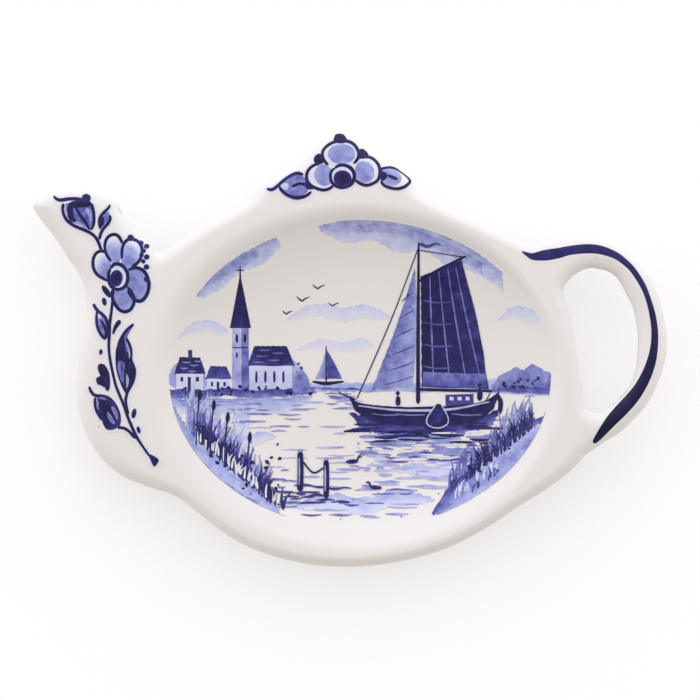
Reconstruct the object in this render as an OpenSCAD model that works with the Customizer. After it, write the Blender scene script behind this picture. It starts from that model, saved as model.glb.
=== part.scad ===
// Tea bag rest in the outline of a teapot: a shallow glazed dish with a rolled rim.
// Spout, lid and handle are flat flanges of the same pressed ware, and the blue
// decoration is fired on as thin prints. Origin: on the table, under the middle of
// the overall length and depth. +X points from the spout to the handle, +Y to the lid.

/* [Well] */
// Length of the crest, the rounded line round the well's mouth
well_length = 84; // [76:0.5:92]
// Width of the crest, front to back
well_width = 70.4; // [64:0.2:78]
// Drop of the rounded wall from the crest to the edge of the hollow floor
well_drop = 0.9; // [0.7:0.05:1.2]
// Level run of the rounded wall at the spout and the handle
wall_run_ends = 3.4; // [2.5:0.1:5]
// Level run of the rounded wall at the front and the lid
wall_run_sides = 4; // [2.5:0.1:5]
// How far the floor lies towards the handle from the middle of the crest
floor_shift_x = 1; // [0:0.1:1.5]
// How far the floor lies towards the lid from the middle of the crest
floor_shift_y = 0.8; // [0:0.1:1.2]
// How much lower the middle of the hollow floor is than its edge
floor_dish = 4.4; // [3.6:0.1:5.2]

/* [Ware] */
// Thickness of the ware under the middle of the well
floor_thickness = 5; // [4:0.1:7]
// Thickness of the spout, lid and handle
flange_thickness = 4.4; // [3.4:0.1:5.4]
// How much lower the flanges are than the crest
flange_droop = 1.6; // [0.8:0.1:2]
// How far the flanges run to settle to that height
droop_run = 14.7; // [10:0.1:20]
// Radius of every outer edge
edge_round = 2; // [1.2:0.1:2.6]
// Depth of the collar round the bowl that the flanges grow from
collar_depth = 7; // [6.4:0.1:7.6]
// Run of the hollow that fills the corner under the flanges
collar_run = 5; // [3:0.1:8]

/* [Outline] */
// Reach of the spout's tip beyond the crest
spout_reach = 22.6; // [18:0.1:27]
// Rise of the lid's knob beyond the crest
lid_rise = 14.2; // [12:0.1:17]
// Width of the rim beyond the crest at the front
rim_width = 2.6; // [2.4:0.1:3]
// Reach of the handle beyond the crest
handle_reach = 20.6; // [18:0.1:25]

/* [Foot ring] */
// Height of the foot ring
foot_height = 1.5; // [1:0.1:2.5]
// How far the foot ring's outside lies in from the crest
foot_inset = 8; // [6:0.1:12]
// Width of the ring's flat resting face
foot_wall = 3; // [2:0.1:5]
// Ledge of flat base outside the foot ring
foot_ledge = 1.5; // [0.5:0.1:3]

/* [Prints] */
// Thickness of the fired colour
print_thickness = 0.1; // [0.05:0.01:0.2]
// Height of the strokes' underside over the curved glaze
print_lift = 0.06; // [0.03:0.01:0.1]

/* [Hidden] */

well_middle = [(spout_reach - handle_reach) / 2, (rim_width - lid_rise) / 2];
floor_middle = well_middle + [floor_shift_x, floor_shift_y];
floor_length = well_length - 2 * wall_run_ends;
floor_width = well_width - 2 * wall_run_sides;
floor_edge_height = foot_height + floor_thickness + floor_dish;
crest_height = floor_edge_height + well_drop;
collar_height = crest_height - collar_depth;
flange_under = crest_height - flange_droop - flange_thickness;
foot_length = well_length - 2 * foot_inset;
foot_width = well_width - 2 * foot_inset;
// The outer edge's roll stays a little under half the flange's thickness
roll_share = 0.46;
roll = min(edge_round, roll_share * flange_thickness);

// The outlines are drawn on a sketch grid, x to the right and y down, in grid units.
// The crest is an ellipse on that grid.
crest_middle_px = [355, 378];
crest_radius_px = [210, 176];

// Rows of the outline, anticlockwise from above: x and y on the grid, the angle of the
// crest's point that the row belongs to, and 1 for a rounded edge or 0 for the square
// one that the handle's root stands on.
side_rim_px = [[585, 456, -24, 0], [584.5, 405, -9, 0], [581, 382, -2, 1],
    [576, 348, 9, 1], [569, 312, 20, 1], [564, 290, 27, 0], [528, 243, 43.5, 0]];
lid_px = [[510, 236, 47, 1], [480, 222, 55.5, 1], [450, 209, 64, 1], [432, 200, 70, 1],
    [417, 190, 74.5, 1], [410, 177, 77, 1], [396, 167, 80.5, 1], [379, 160, 85, 1],
    [364, 148, 88, 1], [352, 137, 90.5, 1], [339, 131, 93, 1], [326, 137, 96, 1],
    [312, 148, 99, 1], [296, 163, 103, 1], [274, 175, 108, 1], [262, 183, 111.5, 1],
    [254, 194, 114.5, 1], [240, 205, 118.5, 1], [205, 224, 128.5, 1],
    [180, 240, 136, 1], [160, 252, 144, 1]];
spout_px = [[150, 245, 147.5, 1], [135, 230, 150.5, 1], [121, 213, 153.5, 1],
    [113, 199, 155.5, 1], [95, 190, 157, 1], [72, 187.5, 158.5, 1], [50, 191, 160, 1],
    [38, 197, 161, 1], [32, 205, 162, 1], [38, 217, 163, 1], [52, 235, 164.8, 1],
    [66, 256, 166.8, 1], [80, 277, 168.8, 1], [86, 298, 171.5, 1], [85, 322, 174.5, 1],
    [80, 350, 178, 1], [76, 382, 182, 1], [77, 406, 186, 1], [84, 430, 192, 1],
    [98, 455, 199, 1], [120, 475, 206, 1], [148, 487, 212.5, 1], [176, 497, 218.5, 1]];
front_rim_px = [[200, 515, 226, 1], [228, 536, 235.5, 1], [260, 552, 245, 1],
    [300, 563, 255.5, 1], [340, 567, 266, 1], [380, 565, 277, 1], [420, 557, 287.5, 1],
    [455, 545, 297, 1], [490, 526, 307, 1], [520, 506, 316.5, 1], [550, 487, 325, 1],
    [572, 470, 331.5, 1]];
// Rows of the handle between its roots: the inner point and the outer point
handle_px = [[570, 279, 541, 241], [579, 272, 556, 238], [590, 268, 580, 235],
    [601, 269, 600, 237], [612, 273, 617, 244], [620, 281, 633, 256],
    [627, 294, 648, 273], [633, 306, 658, 292], [637, 322, 664, 312],
    [638.7, 340, 668, 338], [637.5, 360, 667, 357], [634, 377, 660, 380],
    [627, 391, 648, 404], [618, 400, 634, 420], [608, 408, 620, 433],
    [597, 412, 607, 441], [590, 410, 595, 449]];

// How far each section reaches beyond the crest on the grid
spout_reach_px = crest_middle_px.x - crest_radius_px.x - min([for (row = spout_px) row[0]]);
lid_rise_px = crest_middle_px.y - crest_radius_px.y - min([for (row = lid_px) row[1]]);
rim_width_px = max([for (row = front_rim_px) row[1]]) - crest_middle_px.y - crest_radius_px.y;
handle_reach_px = max([for (row = handle_px) row[2]]) - crest_middle_px.x - crest_radius_px.x;

// A point on the crest at an angle, on the grid and in the part
function crest_px(a) =
    crest_middle_px + [crest_radius_px.x * cos(a), -crest_radius_px.y * sin(a)];
function crest_at(a) = well_middle + [well_length / 2 * cos(a), well_width / 2 * sin(a)];

// A row in the part: the outline point, its crest point and its roundness
function placed(row, scale_px) =
    let (base = crest_at(row[2]), out = [row[0], row[1]] - crest_px(row[2]))
    [base.x + out.x * scale_px, base.y - out.y * scale_px, base.x, base.y, row[3]];

coarse = [
    for (row = side_rim_px) placed(row, rim_width / rim_width_px),
    for (row = lid_px) placed(row, lid_rise / lid_rise_px),
    for (row = spout_px) placed(row, spout_reach / spout_reach_px),
    for (row = front_rim_px) placed(row, rim_width / rim_width_px)];

// Halfway between two rows on a smooth curve through their neighbours. Between two
// square rows the outline stays straight.
function halfway(a, b, c, d) =
    let (smooth = (9 * (b + c) - a - d) / 16, plain = (b + c) / 2)
    b[4] == 0 && c[4] == 0
        ? [plain[0], plain[1], smooth[2], smooth[3], 0]
        : [smooth[0], smooth[1], smooth[2], smooth[3], plain[4]];
rows = len(coarse);
outline = [for (i = [0:rows - 1], part = [0, 1])
    part == 0 ? coarse[i] : halfway(coarse[(i + rows - 1) % rows], coarse[i],
        coarse[(i + 1) % rows], coarse[(i + 2) % rows])];
stations = len(outline);

// Where the sections begin: each station list runs from one seam to the next
lid_first = 2 * (len(side_rim_px) - 1);
spout_first = 2 * (len(side_rim_px) + len(lid_px) - 1);
rim_first = 2 * (len(side_rim_px) + len(lid_px) + len(spout_px) - 1);

// How far outside the crest a point lies, in shares of the crest's own radius
function crest_radius(p) =
    norm([(p.x - well_middle.x) / (well_length / 2), (p.y - well_middle.y) / (well_width / 2)]);
function outside(p) = max(0, crest_radius(p) - 1) * well_length / 2;
// Height of the glaze on top of the flanges and under them
function top_height(p) = crest_height - flange_droop * (1 - exp(-pow(outside(p) / droop_run, 2)));
function under_height(p) =
    flange_under - (flange_under - collar_height) * exp(-pow(outside(p) / collar_run, 2));
// The floor is a dish whose slope grows with the square of the way out from its middle
function floor_height(share) = floor_edge_height - floor_dish * (1 - pow(share, 3));

// Roll of an edge: how far in each point of the quarter circle lies and how far it drops
roll_angles = [0, 30, 60, 90];
function back(list) = [for (k = [len(list) - 1:-1:0]) list[k]];
function roll_in(a) = roll * (1 - cos(a));
function roll_drop(a) = roll * (1 - sin(a));

// The inward direction at a station of the outline
function inward(i) =
    let (a = outline[(i + stations - 1) % stations], b = outline[(i + 1) % stations],
        along = [b[0] - a[0], b[1] - a[1]])
    [-along.y, along.x] / norm(along);

// Section of a flange at a station: over the top to the edge and back underneath
flange_shares = [1, 0.75, 0.5, 0.25];
function flange_section(i) =
    let (row = outline[i % stations], edge = [row[0], row[1]], base = [row[2], row[3]],
        turn = inward(i % stations), start = edge + roll * turn,
        flat = [for (share = flange_shares) concat(start + (base - start) * share, 0)],
        rolled = [for (a = back(roll_angles))
            concat(edge + roll_in(a) * turn, roll_drop(a) * row[4])],
        line = concat(flat, rolled))
    closed_section(line);
// A line of points with their drop from the edge's roll, on top and back underneath
function closed_section(line) = [
    for (p = line) [p.x, p.y, top_height(p) - p.z],
    for (p = back(line)) [p.x, p.y, under_height(p) + p.z]];

// Faces of a row of closed sections with an end cap at each side
function side_faces(count, points) = [for (i = [0:count - 2], j = [0:points - 1])
    let (a = i * points + j, b = i * points + (j + 1) % points)
    each [[a, a + points, b + points], [a, b + points, b]]];
function cap_faces(points) = [for (k = [0:points / 2 - 2])
    each [[k, k + 1, points - 2 - k], [k, points - 2 - k, points - 1 - k]]];
function turned(faces, shift) = [for (f = faces) [f[2] + shift, f[1] + shift, f[0] + shift]];
module swept(sections) {
    points = len(sections[0]);
    polyhedron([for (s = sections) each s], concat(side_faces(len(sections), points),
        cap_faces(points), turned(cap_faces(points), (len(sections) - 1) * points)));
}

// A solid of closed rings, one below the other, with a point at the top
module ringed(top, rings, bottom) {
    around = len(rings[0]);
    levels = len(rings);
    walls = [for (r = [0:levels - 2], i = [0:around - 1])
        let (a = 1 + r * around + i, b = 1 + r * around + (i + 1) % around)
        each [[a, b, b + around], [a, b + around, a + around]]];
    crown = [for (i = [0:around - 1]) [0, 1 + (i + 1) % around, 1 + i]];
    last = 1 + (levels - 1) * around;
    base = is_undef(bottom)
        ? [[for (i = [0:around - 1]) last + i]]
        : [for (i = [0:around - 1]) [last + around, last + i, last + (i + 1) % around]];
    points = concat([top], [for (r = rings) each r], is_undef(bottom) ? [] : [bottom]);
    polyhedron(points, concat(crown, walls, base));
}

// The direction of a station seen from the middle of the crest
function bearing(row) =
    atan2((row[3] - well_middle.y) / well_width, (row[2] - well_middle.x) / well_length);
function oval(middle, length, width, z) = [for (row = outline)
    let (a = bearing(row)) [middle.x + length / 2 * cos(a), middle.y + width / 2 * sin(a), z]];
function floor_ring(share) =
    oval(floor_middle, floor_length * share, floor_width * share, floor_height(share));
crest_ring = [for (row = outline) [row[2], row[3], crest_height]];

// The bowl: hollow floor, rounded wall and outer wall below, with a flat base for the foot ring
floor_ring_shares = [0.3, 0.5, 0.68, 0.85, 1];
wall_shares = [0.75, 0.5, 0.25];
belly_shares = [2 / 3, 1 / 3];
module bowl() color("white") {
    foot_oval = oval(well_middle, foot_length + 2 * foot_ledge, foot_width + 2 * foot_ledge,
        foot_height);
    floor_oval = floor_ring(1);
    wall = [for (v = wall_shares) [for (i = [0:stations - 1])
        let (p = crest_ring[i] * (1 - v) + floor_oval[i] * v)
        [p.x, p.y, crest_height - well_drop * v * v]]];
    collar = [for (p = crest_ring) [p.x, p.y, collar_height]];
    belly = [for (w = belly_shares) [for (i = [0:stations - 1])
        let (p = foot_oval[i] + (collar[i] - foot_oval[i]) * sin(90 * w))
        [p.x, p.y, foot_height + (collar_height - foot_height) * (1 - cos(90 * w))]]];
    ringed([floor_middle.x, floor_middle.y, floor_height(0)],
        concat([for (share = floor_ring_shares) floor_ring(share)], wall,
            [crest_ring, collar], belly, [foot_oval]));
}

// The rolled rim round the front and the handle's side
module rim() color("white")
    swept([for (i = [rim_first:stations + lid_first]) flange_section(i)]);

// The spout: a broad flange that ends in a lip at the upper corner
module spout() color("white")
    swept([for (i = [spout_first:rim_first]) flange_section(i)]);

// The lid: a flange with a stepped dome and a pointed knob
module lid() color("white")
    swept([for (i = [lid_first:spout_first]) flange_section(i)]);

// The handle: a flat loop between its two roots on the rim's square faces
upper_root = [for (k = [len(side_rim_px) - 2, len(side_rim_px) - 1]) [coarse[k][0], coarse[k][1]]];
lower_root = [for (k = [1, 0]) [coarse[k][0], coarse[k][1]]];
root_px = [side_rim_px[0][1], side_rim_px[len(side_rim_px) - 1][1]];
crest_end = well_middle.x + well_length / 2;
function handle_point(x, y) = [
    crest_end + (x - crest_middle_px.x - crest_radius_px.x) * handle_reach / handle_reach_px,
    lower_root[1].y + (upper_root[1].y - lower_root[1].y) * (y - root_px[0]) / (root_px[1] - root_px[0])];
handle_rows = concat([[upper_root[0].x, upper_root[0].y, upper_root[1].x, upper_root[1].y]],
    [for (row = handle_px) concat(handle_point(row[0], row[1]), handle_point(row[2], row[3]))],
    [[lower_root[0].x, lower_root[0].y, lower_root[1].x, lower_root[1].y]]);
// Twice as many rows along a smooth curve through the given ones
function smoothed(list) =
    let (last = len(list) - 1)
    [for (i = [0:last - 1], part = [0, 1])
        part == 0 ? list[i]
            : (9 * (list[i] + list[i + 1]) - list[max(0, i - 1)] - list[min(last, i + 2)]) / 16,
    list[last]];
handle_fine = smoothed(handle_rows);
function handle_section(row) =
    let (inner = [row[0], row[1]], outer = [row[2], row[3]],
        across = (outer - inner) / norm(outer - inner))
    closed_section(concat(
        [for (a = roll_angles) concat(inner + roll_in(a) * across, roll_drop(a))],
        [concat((inner + outer) / 2, 0)],
        [for (a = back(roll_angles)) concat(outer - roll_in(a) * across, roll_drop(a))]));
module handle() color("white")
    swept([for (row = back(handle_fine)) handle_section(row)]);

// The foot ring: the bare oval that the dish stands on
function flat_oval(inset) = [for (p = oval(well_middle, foot_length - 2 * inset,
    foot_width - 2 * inset, 0)) [p.x, p.y]];
module foot_ring() color("wheat") linear_extrude(foot_height) difference() {
    polygon(flat_oval(0));
    polygon(flat_oval(foot_wall));
}

// The oval picture in the well: a thin film that lies on the whole floor
function lifted(ring) = [for (p = ring) [p.x, p.y, p.z + print_thickness]];
module well_print() color("lightsteelblue") {
    rings = [for (share = floor_ring_shares) floor_ring(share)];
    middle = [floor_middle.x, floor_middle.y, floor_height(0)];
    ringed([middle.x, middle.y, middle.z + print_thickness],
        concat([for (ring = rings) lifted(ring)], back(rings)), middle);
}

// Strokes of the painted sprays: rows of x, y and half the stroke's width on the grid
sprig_px = [
    [[72, 203, 6], [76, 212, 12], [81, 221, 10], [86, 229, 4], [91, 235, 1.4], [98, 242, 1.3]],
    [[110, 205, 1], [105, 213, 3], [104, 221, 5], [104, 229, 2.5], [102, 236, 1.2]],
    [[115, 267, 2], [114.5, 257, 6.5], [114, 247, 7], [113.8, 240, 3]],
    [[122, 267, 2], [128, 259, 5.5], [134, 251, 7], [139, 245, 3]],
    [[107, 273, 2], [102, 268, 6], [97, 262, 6.5], [92, 258, 3]],
    [[126, 281, 2], [134, 284, 6.5], [142, 287, 8], [151, 290, 3]],
    [[120, 289, 2], [122.5, 296, 6], [126, 304, 7.5], [129, 311, 3]],
    [[112, 278.5, 3], [114, 278.5, 5], [118, 278.5, 5], [120, 278.5, 3]],
    [[113, 297, 1], [109.8, 325, 1.3], [109.6, 352, 1.4], [113.4, 375, 1.4], [123, 405.7, 1.5],
        [134.4, 432.5, 1.6], [147.8, 455.5, 1.5], [155, 461, 5]],
    [[134, 325, 1.2], [127, 334, 2.5], [124, 345, 5], [125, 360, 6.8], [126.5, 375, 6],
        [127.5, 388, 3.5], [127.5, 398, 1.2]],
    [[93.5, 304, 1], [98, 311, 1.5], [101, 318, 4], [103, 326, 4.3], [104.5, 335, 2]],
    [[119.5, 320, 2.2], [117, 326, 2], [114, 332, 1]],
    [[99.7, 365, 2], [102, 372, 4.5], [103.5, 380, 4.5], [106.5, 388, 1.5]],
    [[90, 387, 1], [94, 394, 3], [102, 403, 8], [107, 413, 9], [112, 422, 6], [119, 427, 1.3],
        [127, 430, 1.3]],
    [[134, 410, 2], [133.5, 417, 1.6]]];
blossom_px = [
    [[325, 155, 4], [331, 154.5, 9], [341, 154, 11.5], [351, 154.5, 9], [357, 155, 4]],
    [[309, 176, 4], [313, 176, 9], [321, 177.5, 10.5], [329, 178, 8]],
    [[378, 173, 4], [374, 174, 9], [365, 176, 10.5], [357, 177, 8]],
    [[335, 178.5, 3], [338, 178.5, 7], [343, 178.5, 8], [348, 178.5, 7], [350.5, 178.5, 3]],
    [[270, 188, 1.2], [281, 184, 3], [291, 182.5, 7], [299, 183, 8], [304, 184.5, 4]],
    [[383, 176, 4], [390, 177, 8], [397, 177.5, 8], [404, 178, 4.5], [409, 179.5, 1.2]]];
handle_line_px = [
    [[533, 256.5, 3.5], [546, 255, 5], [560, 252.5, 5.5], [580, 249, 5], [603, 250.5, 5],
        [620, 257, 5], [635, 273, 5.5], [646.5, 292, 5.5], [653.5, 316, 4.5], [654.5, 339, 4],
        [651.5, 361, 5], [640.5, 385, 7], [624, 406, 9], [609, 425, 8], [600, 435, 5],
        [594, 443, 1.5]]];

// Where a grid point of the spout or the lid lies in the part
grid = well_length / 2 / crest_radius_px.x;
function spout_point(x, y) = [
    well_middle.x - well_length / 2
        - (crest_middle_px.x - crest_radius_px.x - x) * spout_reach / spout_reach_px,
    well_middle.y + (crest_middle_px.y - y) * well_width / 2 / crest_radius_px.y];
function lid_point(x, y) = [
    well_middle.x + (x - crest_middle_px.x) * grid,
    well_middle.y + well_width / 2 + (crest_middle_px.y - crest_radius_px.y - y) * lid_rise / lid_rise_px];

// One stroke of colour that lies on the flange. Each row: its point and half its width.
module stroke(line) {
    fine = smoothed(line);
    last = len(fine) - 1;
    swept([for (i = [0:last])
        let (a = fine[max(0, i - 1)], b = fine[min(last, i + 1)],
            along = [b.x - a.x, b.y - a.y] / norm([b.x - a.x, b.y - a.y]),
            side = [along.y, -along.x] * fine[i].z,
            left = [fine[i].x, fine[i].y] - side, right = [fine[i].x, fine[i].y] + side,
            low = top_height(left) + print_lift, high = top_height(right) + print_lift)
        [[left.x, left.y, low + print_thickness], [right.x, right.y, high + print_thickness],
            [right.x, right.y, high], [left.x, left.y, low]]]);
}

// The flower sprig that runs down the spout
module spout_print() color("navy")
    for (line = sprig_px)
        stroke([for (row = line) concat(spout_point(row.x, row.y), row.z * grid)]);

// The blossom with two leaves on the lid
module lid_print() color("navy")
    for (line = blossom_px)
        stroke([for (row = line) concat(lid_point(row.x, row.y), row.z * grid)]);

// The one brush line round the handle
module handle_print() color("navy")
    for (line = handle_line_px)
        stroke([for (row = line) concat(handle_point(row.x, row.y), row.z * grid)]);

bowl();
rim();
spout();
lid();
handle();
foot_ring();
well_print();
spout_print();
lid_print();
handle_print();
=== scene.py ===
"""Tea bag rest: a small glazed dish in the outline of a teapot, with cobalt decoration.

The dish lies on a pale table and is seen from straight above. +X runs from the spout
to the handle, +Y from the front rim to the lid's knob, and +Z is up. The ware is worked
out in millimetres and put into the meshes in metres.
"""
import math

import bpy
import numpy as np
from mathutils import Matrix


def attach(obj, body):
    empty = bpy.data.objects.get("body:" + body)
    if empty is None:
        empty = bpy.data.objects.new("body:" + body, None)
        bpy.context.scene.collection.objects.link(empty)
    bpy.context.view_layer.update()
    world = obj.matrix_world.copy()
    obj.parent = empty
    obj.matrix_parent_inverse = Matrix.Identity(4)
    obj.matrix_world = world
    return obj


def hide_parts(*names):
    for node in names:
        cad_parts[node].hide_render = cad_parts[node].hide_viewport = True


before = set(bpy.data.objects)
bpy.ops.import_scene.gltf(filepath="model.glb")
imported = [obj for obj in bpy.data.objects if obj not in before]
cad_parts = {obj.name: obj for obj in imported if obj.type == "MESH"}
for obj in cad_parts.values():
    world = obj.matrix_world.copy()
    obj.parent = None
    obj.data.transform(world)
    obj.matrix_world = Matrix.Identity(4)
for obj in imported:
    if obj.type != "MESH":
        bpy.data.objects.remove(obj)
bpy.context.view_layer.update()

# The bowl
# The middle of the pressed ware: a shallow oval dish with a soft crest, cast in one with
# the flanges round it, dipped in a clear gloss glaze and fired standing on its foot.

# Lengths are worked out in millimetres, and the meshes are in metres
MILLIMETRE = 0.001
# The outline is drawn on a sketch grid, x to the right and y down, 0.2 mm to a unit.
# Each row has x, y and the angle of the crest's point that the row belongs to.
SKETCH_UNIT = 0.2
SKETCH_MIDDLE = np.array([350.0, 349.0])
BELLY_ROWS = [
    (528, 243, 43.5), (510, 236, 47), (480, 222, 55.5), (450, 209, 64), (432, 200, 70),
    (417, 190, 74.5), (410, 177, 77), (396, 167, 80.5), (379, 160, 85), (364, 148, 88),
    (352, 137, 90.5), (339, 131, 93), (326, 137, 96), (312, 148, 99), (296, 163, 103),
    (274, 175, 108), (262, 183, 111.5), (254, 194, 114.5), (240, 205, 118.5),
    (205, 224, 128.5), (180, 240, 136), (160, 252, 144), (150, 245, 147.5),
    (135, 230, 150.5), (121, 213, 153.5), (113, 199, 155.5), (95, 190, 157),
    (72, 187.5, 158.5), (50, 191, 160), (38, 197, 161), (32, 205, 162), (38, 217, 163),
    (52, 235, 164.8), (66, 256, 166.8), (80, 277, 168.8), (86, 298, 171.5),
    (85, 322, 174.5), (80, 350, 178), (76, 382, 182), (77, 406, 186), (84, 430, 192),
    (98, 455, 199), (120, 475, 206), (148, 487, 212.5), (176, 497, 218.5),
    (200, 515, 226), (228, 536, 235.5), (260, 552, 245), (300, 563, 255.5),
    (340, 567, 266), (380, 565, 277), (420, 557, 287.5), (455, 545, 297),
    (490, 526, 307), (520, 506, 316.5), (550, 487, 325), (572, 470, 331.5),
    (585, 456, 336)]
GAP_SIDE_ROWS = [(584.5, 405, 351), (581, 382, 358), (576, 348, 369), (569, 312, 380),
                 (564, 290, 387)]
# Rows of the handle from its upper to its lower root: the inner and the outer point
HANDLE_ROWS = [
    (570, 279, 541, 241), (579, 272, 556, 238), (590, 268, 580, 235), (601, 269, 600, 237),
    (612, 273, 617, 244), (620, 281, 633, 256), (627, 294, 648, 273), (633, 306, 658, 292),
    (637, 322, 664, 312), (638.7, 340, 668, 338), (637.5, 360, 667, 357),
    (634, 377, 660, 380), (627, 391, 648, 404), (618, 400, 634, 420), (608, 408, 620, 433),
    (597, 412, 607, 441), (590, 410, 595, 449)]
# The lid begins with the first of the belly's rows, the spout and the front rim with these
FIRST_SPOUT_ROW, FIRST_FRONT_ROW = 21, 44
STEPS_PER_ROW = 14

# The crest and the edge of the well's floor are ellipses
CREST_MIDDLE = np.array([1.0, -5.8])
CREST_RADIUS = np.array([42.0, 35.2])
FLOOR_MIDDLE = np.array([2.0, -5.0])
FLOOR_RADIUS = np.array([38.6, 31.2])
CREST_HEIGHT = 11.8
WELL_DEPTH = 5.3
# The floor rises with this power of the way out. The wall rolls over at the crest for a
# share of its run, which is small at the front and the whole of it at the lid.
FLOOR_POWER = 4
FRONT_ROLL_SHARE, LID_ROLL_SHARE = 0.4, 1.0
# The flanges droop outwards, and their underside goes down to the bowl's collar: how far,
# or to what height, and over what run beyond the crest
DROOP, DROOP_RUN = 1.6, 14.7
WARE_THICKNESS = 4.4
COLLAR_HEIGHT, COLLAR_RUN = 4.8, 5.0
# The bowl's base, which the foot ring lifts off the table
FOOT_HEIGHT = 1.5
BASE_RADIUS = np.array([35.5, 28.7])
# The outer edge is an elliptic roll: how far in it begins and how far it falls
RIM_ROLL_WIDTH, FLANGE_ROLL_WIDTH, UNDER_ROLL_WIDTH, ROLL_FALL = 2.2, 3.4, 2.2, 2.18
# The roll reaches the flanges' width this far beyond the crest
WIDENING_RUN = 9.0


def on_table(points):
    """Sketch points to millimetres: the distance from the sketch's middle, y turned up."""
    offset = (np.asarray(points, float) - SKETCH_MIDDLE) * SKETCH_UNIT
    return offset * np.array([1.0, -1.0])


def curve_through(rows, steps, closed=False):
    """A smooth cubic through the rows, steps to a span: in each span the curve leaves a
    row in the direction from the row before it to the row after it."""
    rows = np.asarray(rows, float)
    if closed:
        knots = np.vstack([rows[-1:], rows, rows[:2]])
        spans = len(rows)
    else:
        knots = np.vstack([2 * rows[:1] - rows[1:2], rows, 2 * rows[-1:] - rows[-2:-1]])
        spans = len(rows) - 1
    share = np.arange(spans * steps + (0 if closed else 1)) / steps
    span = np.minimum(share.astype(int), spans - 1)
    t = (share - span)[:, None]
    a, b, c, d = (knots[span + k] for k in range(4))
    return 0.5 * (2 * b + (c - a) * t + (2 * a - 5 * b + 4 * c - d) * t ** 2
                  + (3 * (b - c) + d - a) * t ** 3)


def with_crest(rows):
    """Rows in millimetres, each with the cosine and sine of its crest angle."""
    rows = np.asarray(rows, float)
    angle = np.radians(rows[:, 2])
    return np.column_stack([on_table(rows[:, :2]), np.cos(angle), np.sin(angle)])


belly_rows, gap_side_rows = with_crest(BELLY_ROWS), with_crest(GAP_SIDE_ROWS)
handle_inner, handle_outer = (on_table(np.array(HANDLE_ROWS)[:, k:k + 2]) for k in (0, 2))
outer_edge = curve_through(np.vstack([belly_rows[:, :2], handle_outer[::-1]]),
                           STEPS_PER_ROW, closed=True)
gap_edge = curve_through(np.vstack([gap_side_rows[:, :2], handle_inner]),
                         STEPS_PER_ROW, closed=True)
belly_count = (len(BELLY_ROWS) - 1) * STEPS_PER_ROW + 1
gap_side_count = (len(GAP_SIDE_ROWS) - 1) * STEPS_PER_ROW + 1

# Stations run anticlockwise round the belly: the outer edge from the handle's upper root
# to its lower root, across that root, up the side of the gap, and across the upper root
crest_rows = curve_through(np.vstack([belly_rows, gap_side_rows]), STEPS_PER_ROW, closed=True)
root_steps = np.arange(1, STEPS_PER_ROW)[:, None] / STEPS_PER_ROW
lower_root = outer_edge[belly_count - 1] * (1 - root_steps) + gap_edge[0] * root_steps
upper_root = gap_edge[gap_side_count - 1] * (1 - root_steps) + outer_edge[0] * root_steps
station_edge = np.vstack([outer_edge[:belly_count], lower_root, gap_edge[:gap_side_count],
                          upper_root])
crest_way = crest_rows[:, 2:] / np.linalg.norm(crest_rows[:, 2:], axis=1)[:, None]
station_crest = CREST_MIDDLE + crest_way * CREST_RADIUS

# So many points are measured at a time, which keeps the tables of distances small
POINTS_AT_A_TIME = 4000


def edge_distance(points, edge):
    """Distance to a closed edge: from the nearest corner of the edge, the shorter of the
    distances to the two straight pieces that meet there."""
    shape = points.shape[:-1]
    points = points.reshape(-1, 2)
    result = np.empty(len(points))
    for start in range(0, len(points), POINTS_AT_A_TIME):
        part = points[start:start + POINTS_AT_A_TIME]
        near = ((part[:, None, :] - edge[None, :, :]) ** 2).sum(axis=2).argmin(axis=1)
        distances = []
        for step in (-1, 1):
            a, b = edge[near], edge[(near + step) % len(edge)]
            along = b - a
            t = ((part - a) * along).sum(axis=1) / (along ** 2).sum(axis=1)
            foot = a + np.clip(t, 0, 1)[:, None] * along
            distances.append(np.linalg.norm(part - foot, axis=1))
        result[start:start + len(part)] = np.minimum(*distances)
    return result.reshape(shape)


def rolled(points, width):
    """How far the edge's roll has fallen at each point: a quarter of an ellipse, level
    where it begins and upright at the edge, for the outline and for the handle's gap."""
    fall = np.zeros(points.shape[:-1])
    for edge in (outer_edge, gap_edge):
        share = 1 - np.minimum(edge_distance(points, edge), width) / width
        fall += ROLL_FALL * (1 - np.sqrt(np.maximum(0, 1 - share ** 2)))
    return np.minimum(fall, ROLL_FALL)


def beyond_crest(points):
    """How far outside the crest each point lies, measured along the crest's long radius."""
    reach = np.linalg.norm((points - CREST_MIDDLE) / CREST_RADIUS, axis=-1)
    return np.maximum(0, reach - 1) * CREST_RADIUS[0]


def flange_top(points):
    """The glaze on the flanges: the crest's height less a bell-shaped droop and the roll,
    which is narrow on the rim and grows wider out on the flanges."""
    out = beyond_crest(points)
    droop = DROOP * (1 - np.exp(-(out / DROOP_RUN) ** 2))
    share = np.clip(out / WIDENING_RUN, 0, 1)
    width = RIM_ROLL_WIDTH + (FLANGE_ROLL_WIDTH - RIM_ROLL_WIDTH) * share ** 2 * (3 - 2 * share)
    return CREST_HEIGHT - droop - rolled(points, width)


def flange_under(points):
    """The glaze under the flanges: level, with a hollow down to the collar, and the roll."""
    level = CREST_HEIGHT - DROOP - WARE_THICKNESS
    hollow = (level - COLLAR_HEIGHT) * np.exp(-(beyond_crest(points) / COLLAR_RUN) ** 2)
    return level - hollow + rolled(points, UNDER_ROLL_WIDTH)


def crest_roll(way):
    """The share of the wall's run that rolls over at the crest: it changes evenly with the
    sine of the direction, from the front's to the lid's."""
    return FRONT_ROLL_SHARE + (LID_ROLL_SHARE - FRONT_ROLL_SHARE) * (1 + way[..., 1]) / 2


def wall_curve(share, roll):
    """The part of its fall that the wall has at a share of its run from the crest: a
    parabola over the roll, and straight from there to the floor."""
    curve = np.where(share < roll, share ** 2 / (2 * roll), share - roll / 2)
    return curve / (1 - roll / 2)


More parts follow.
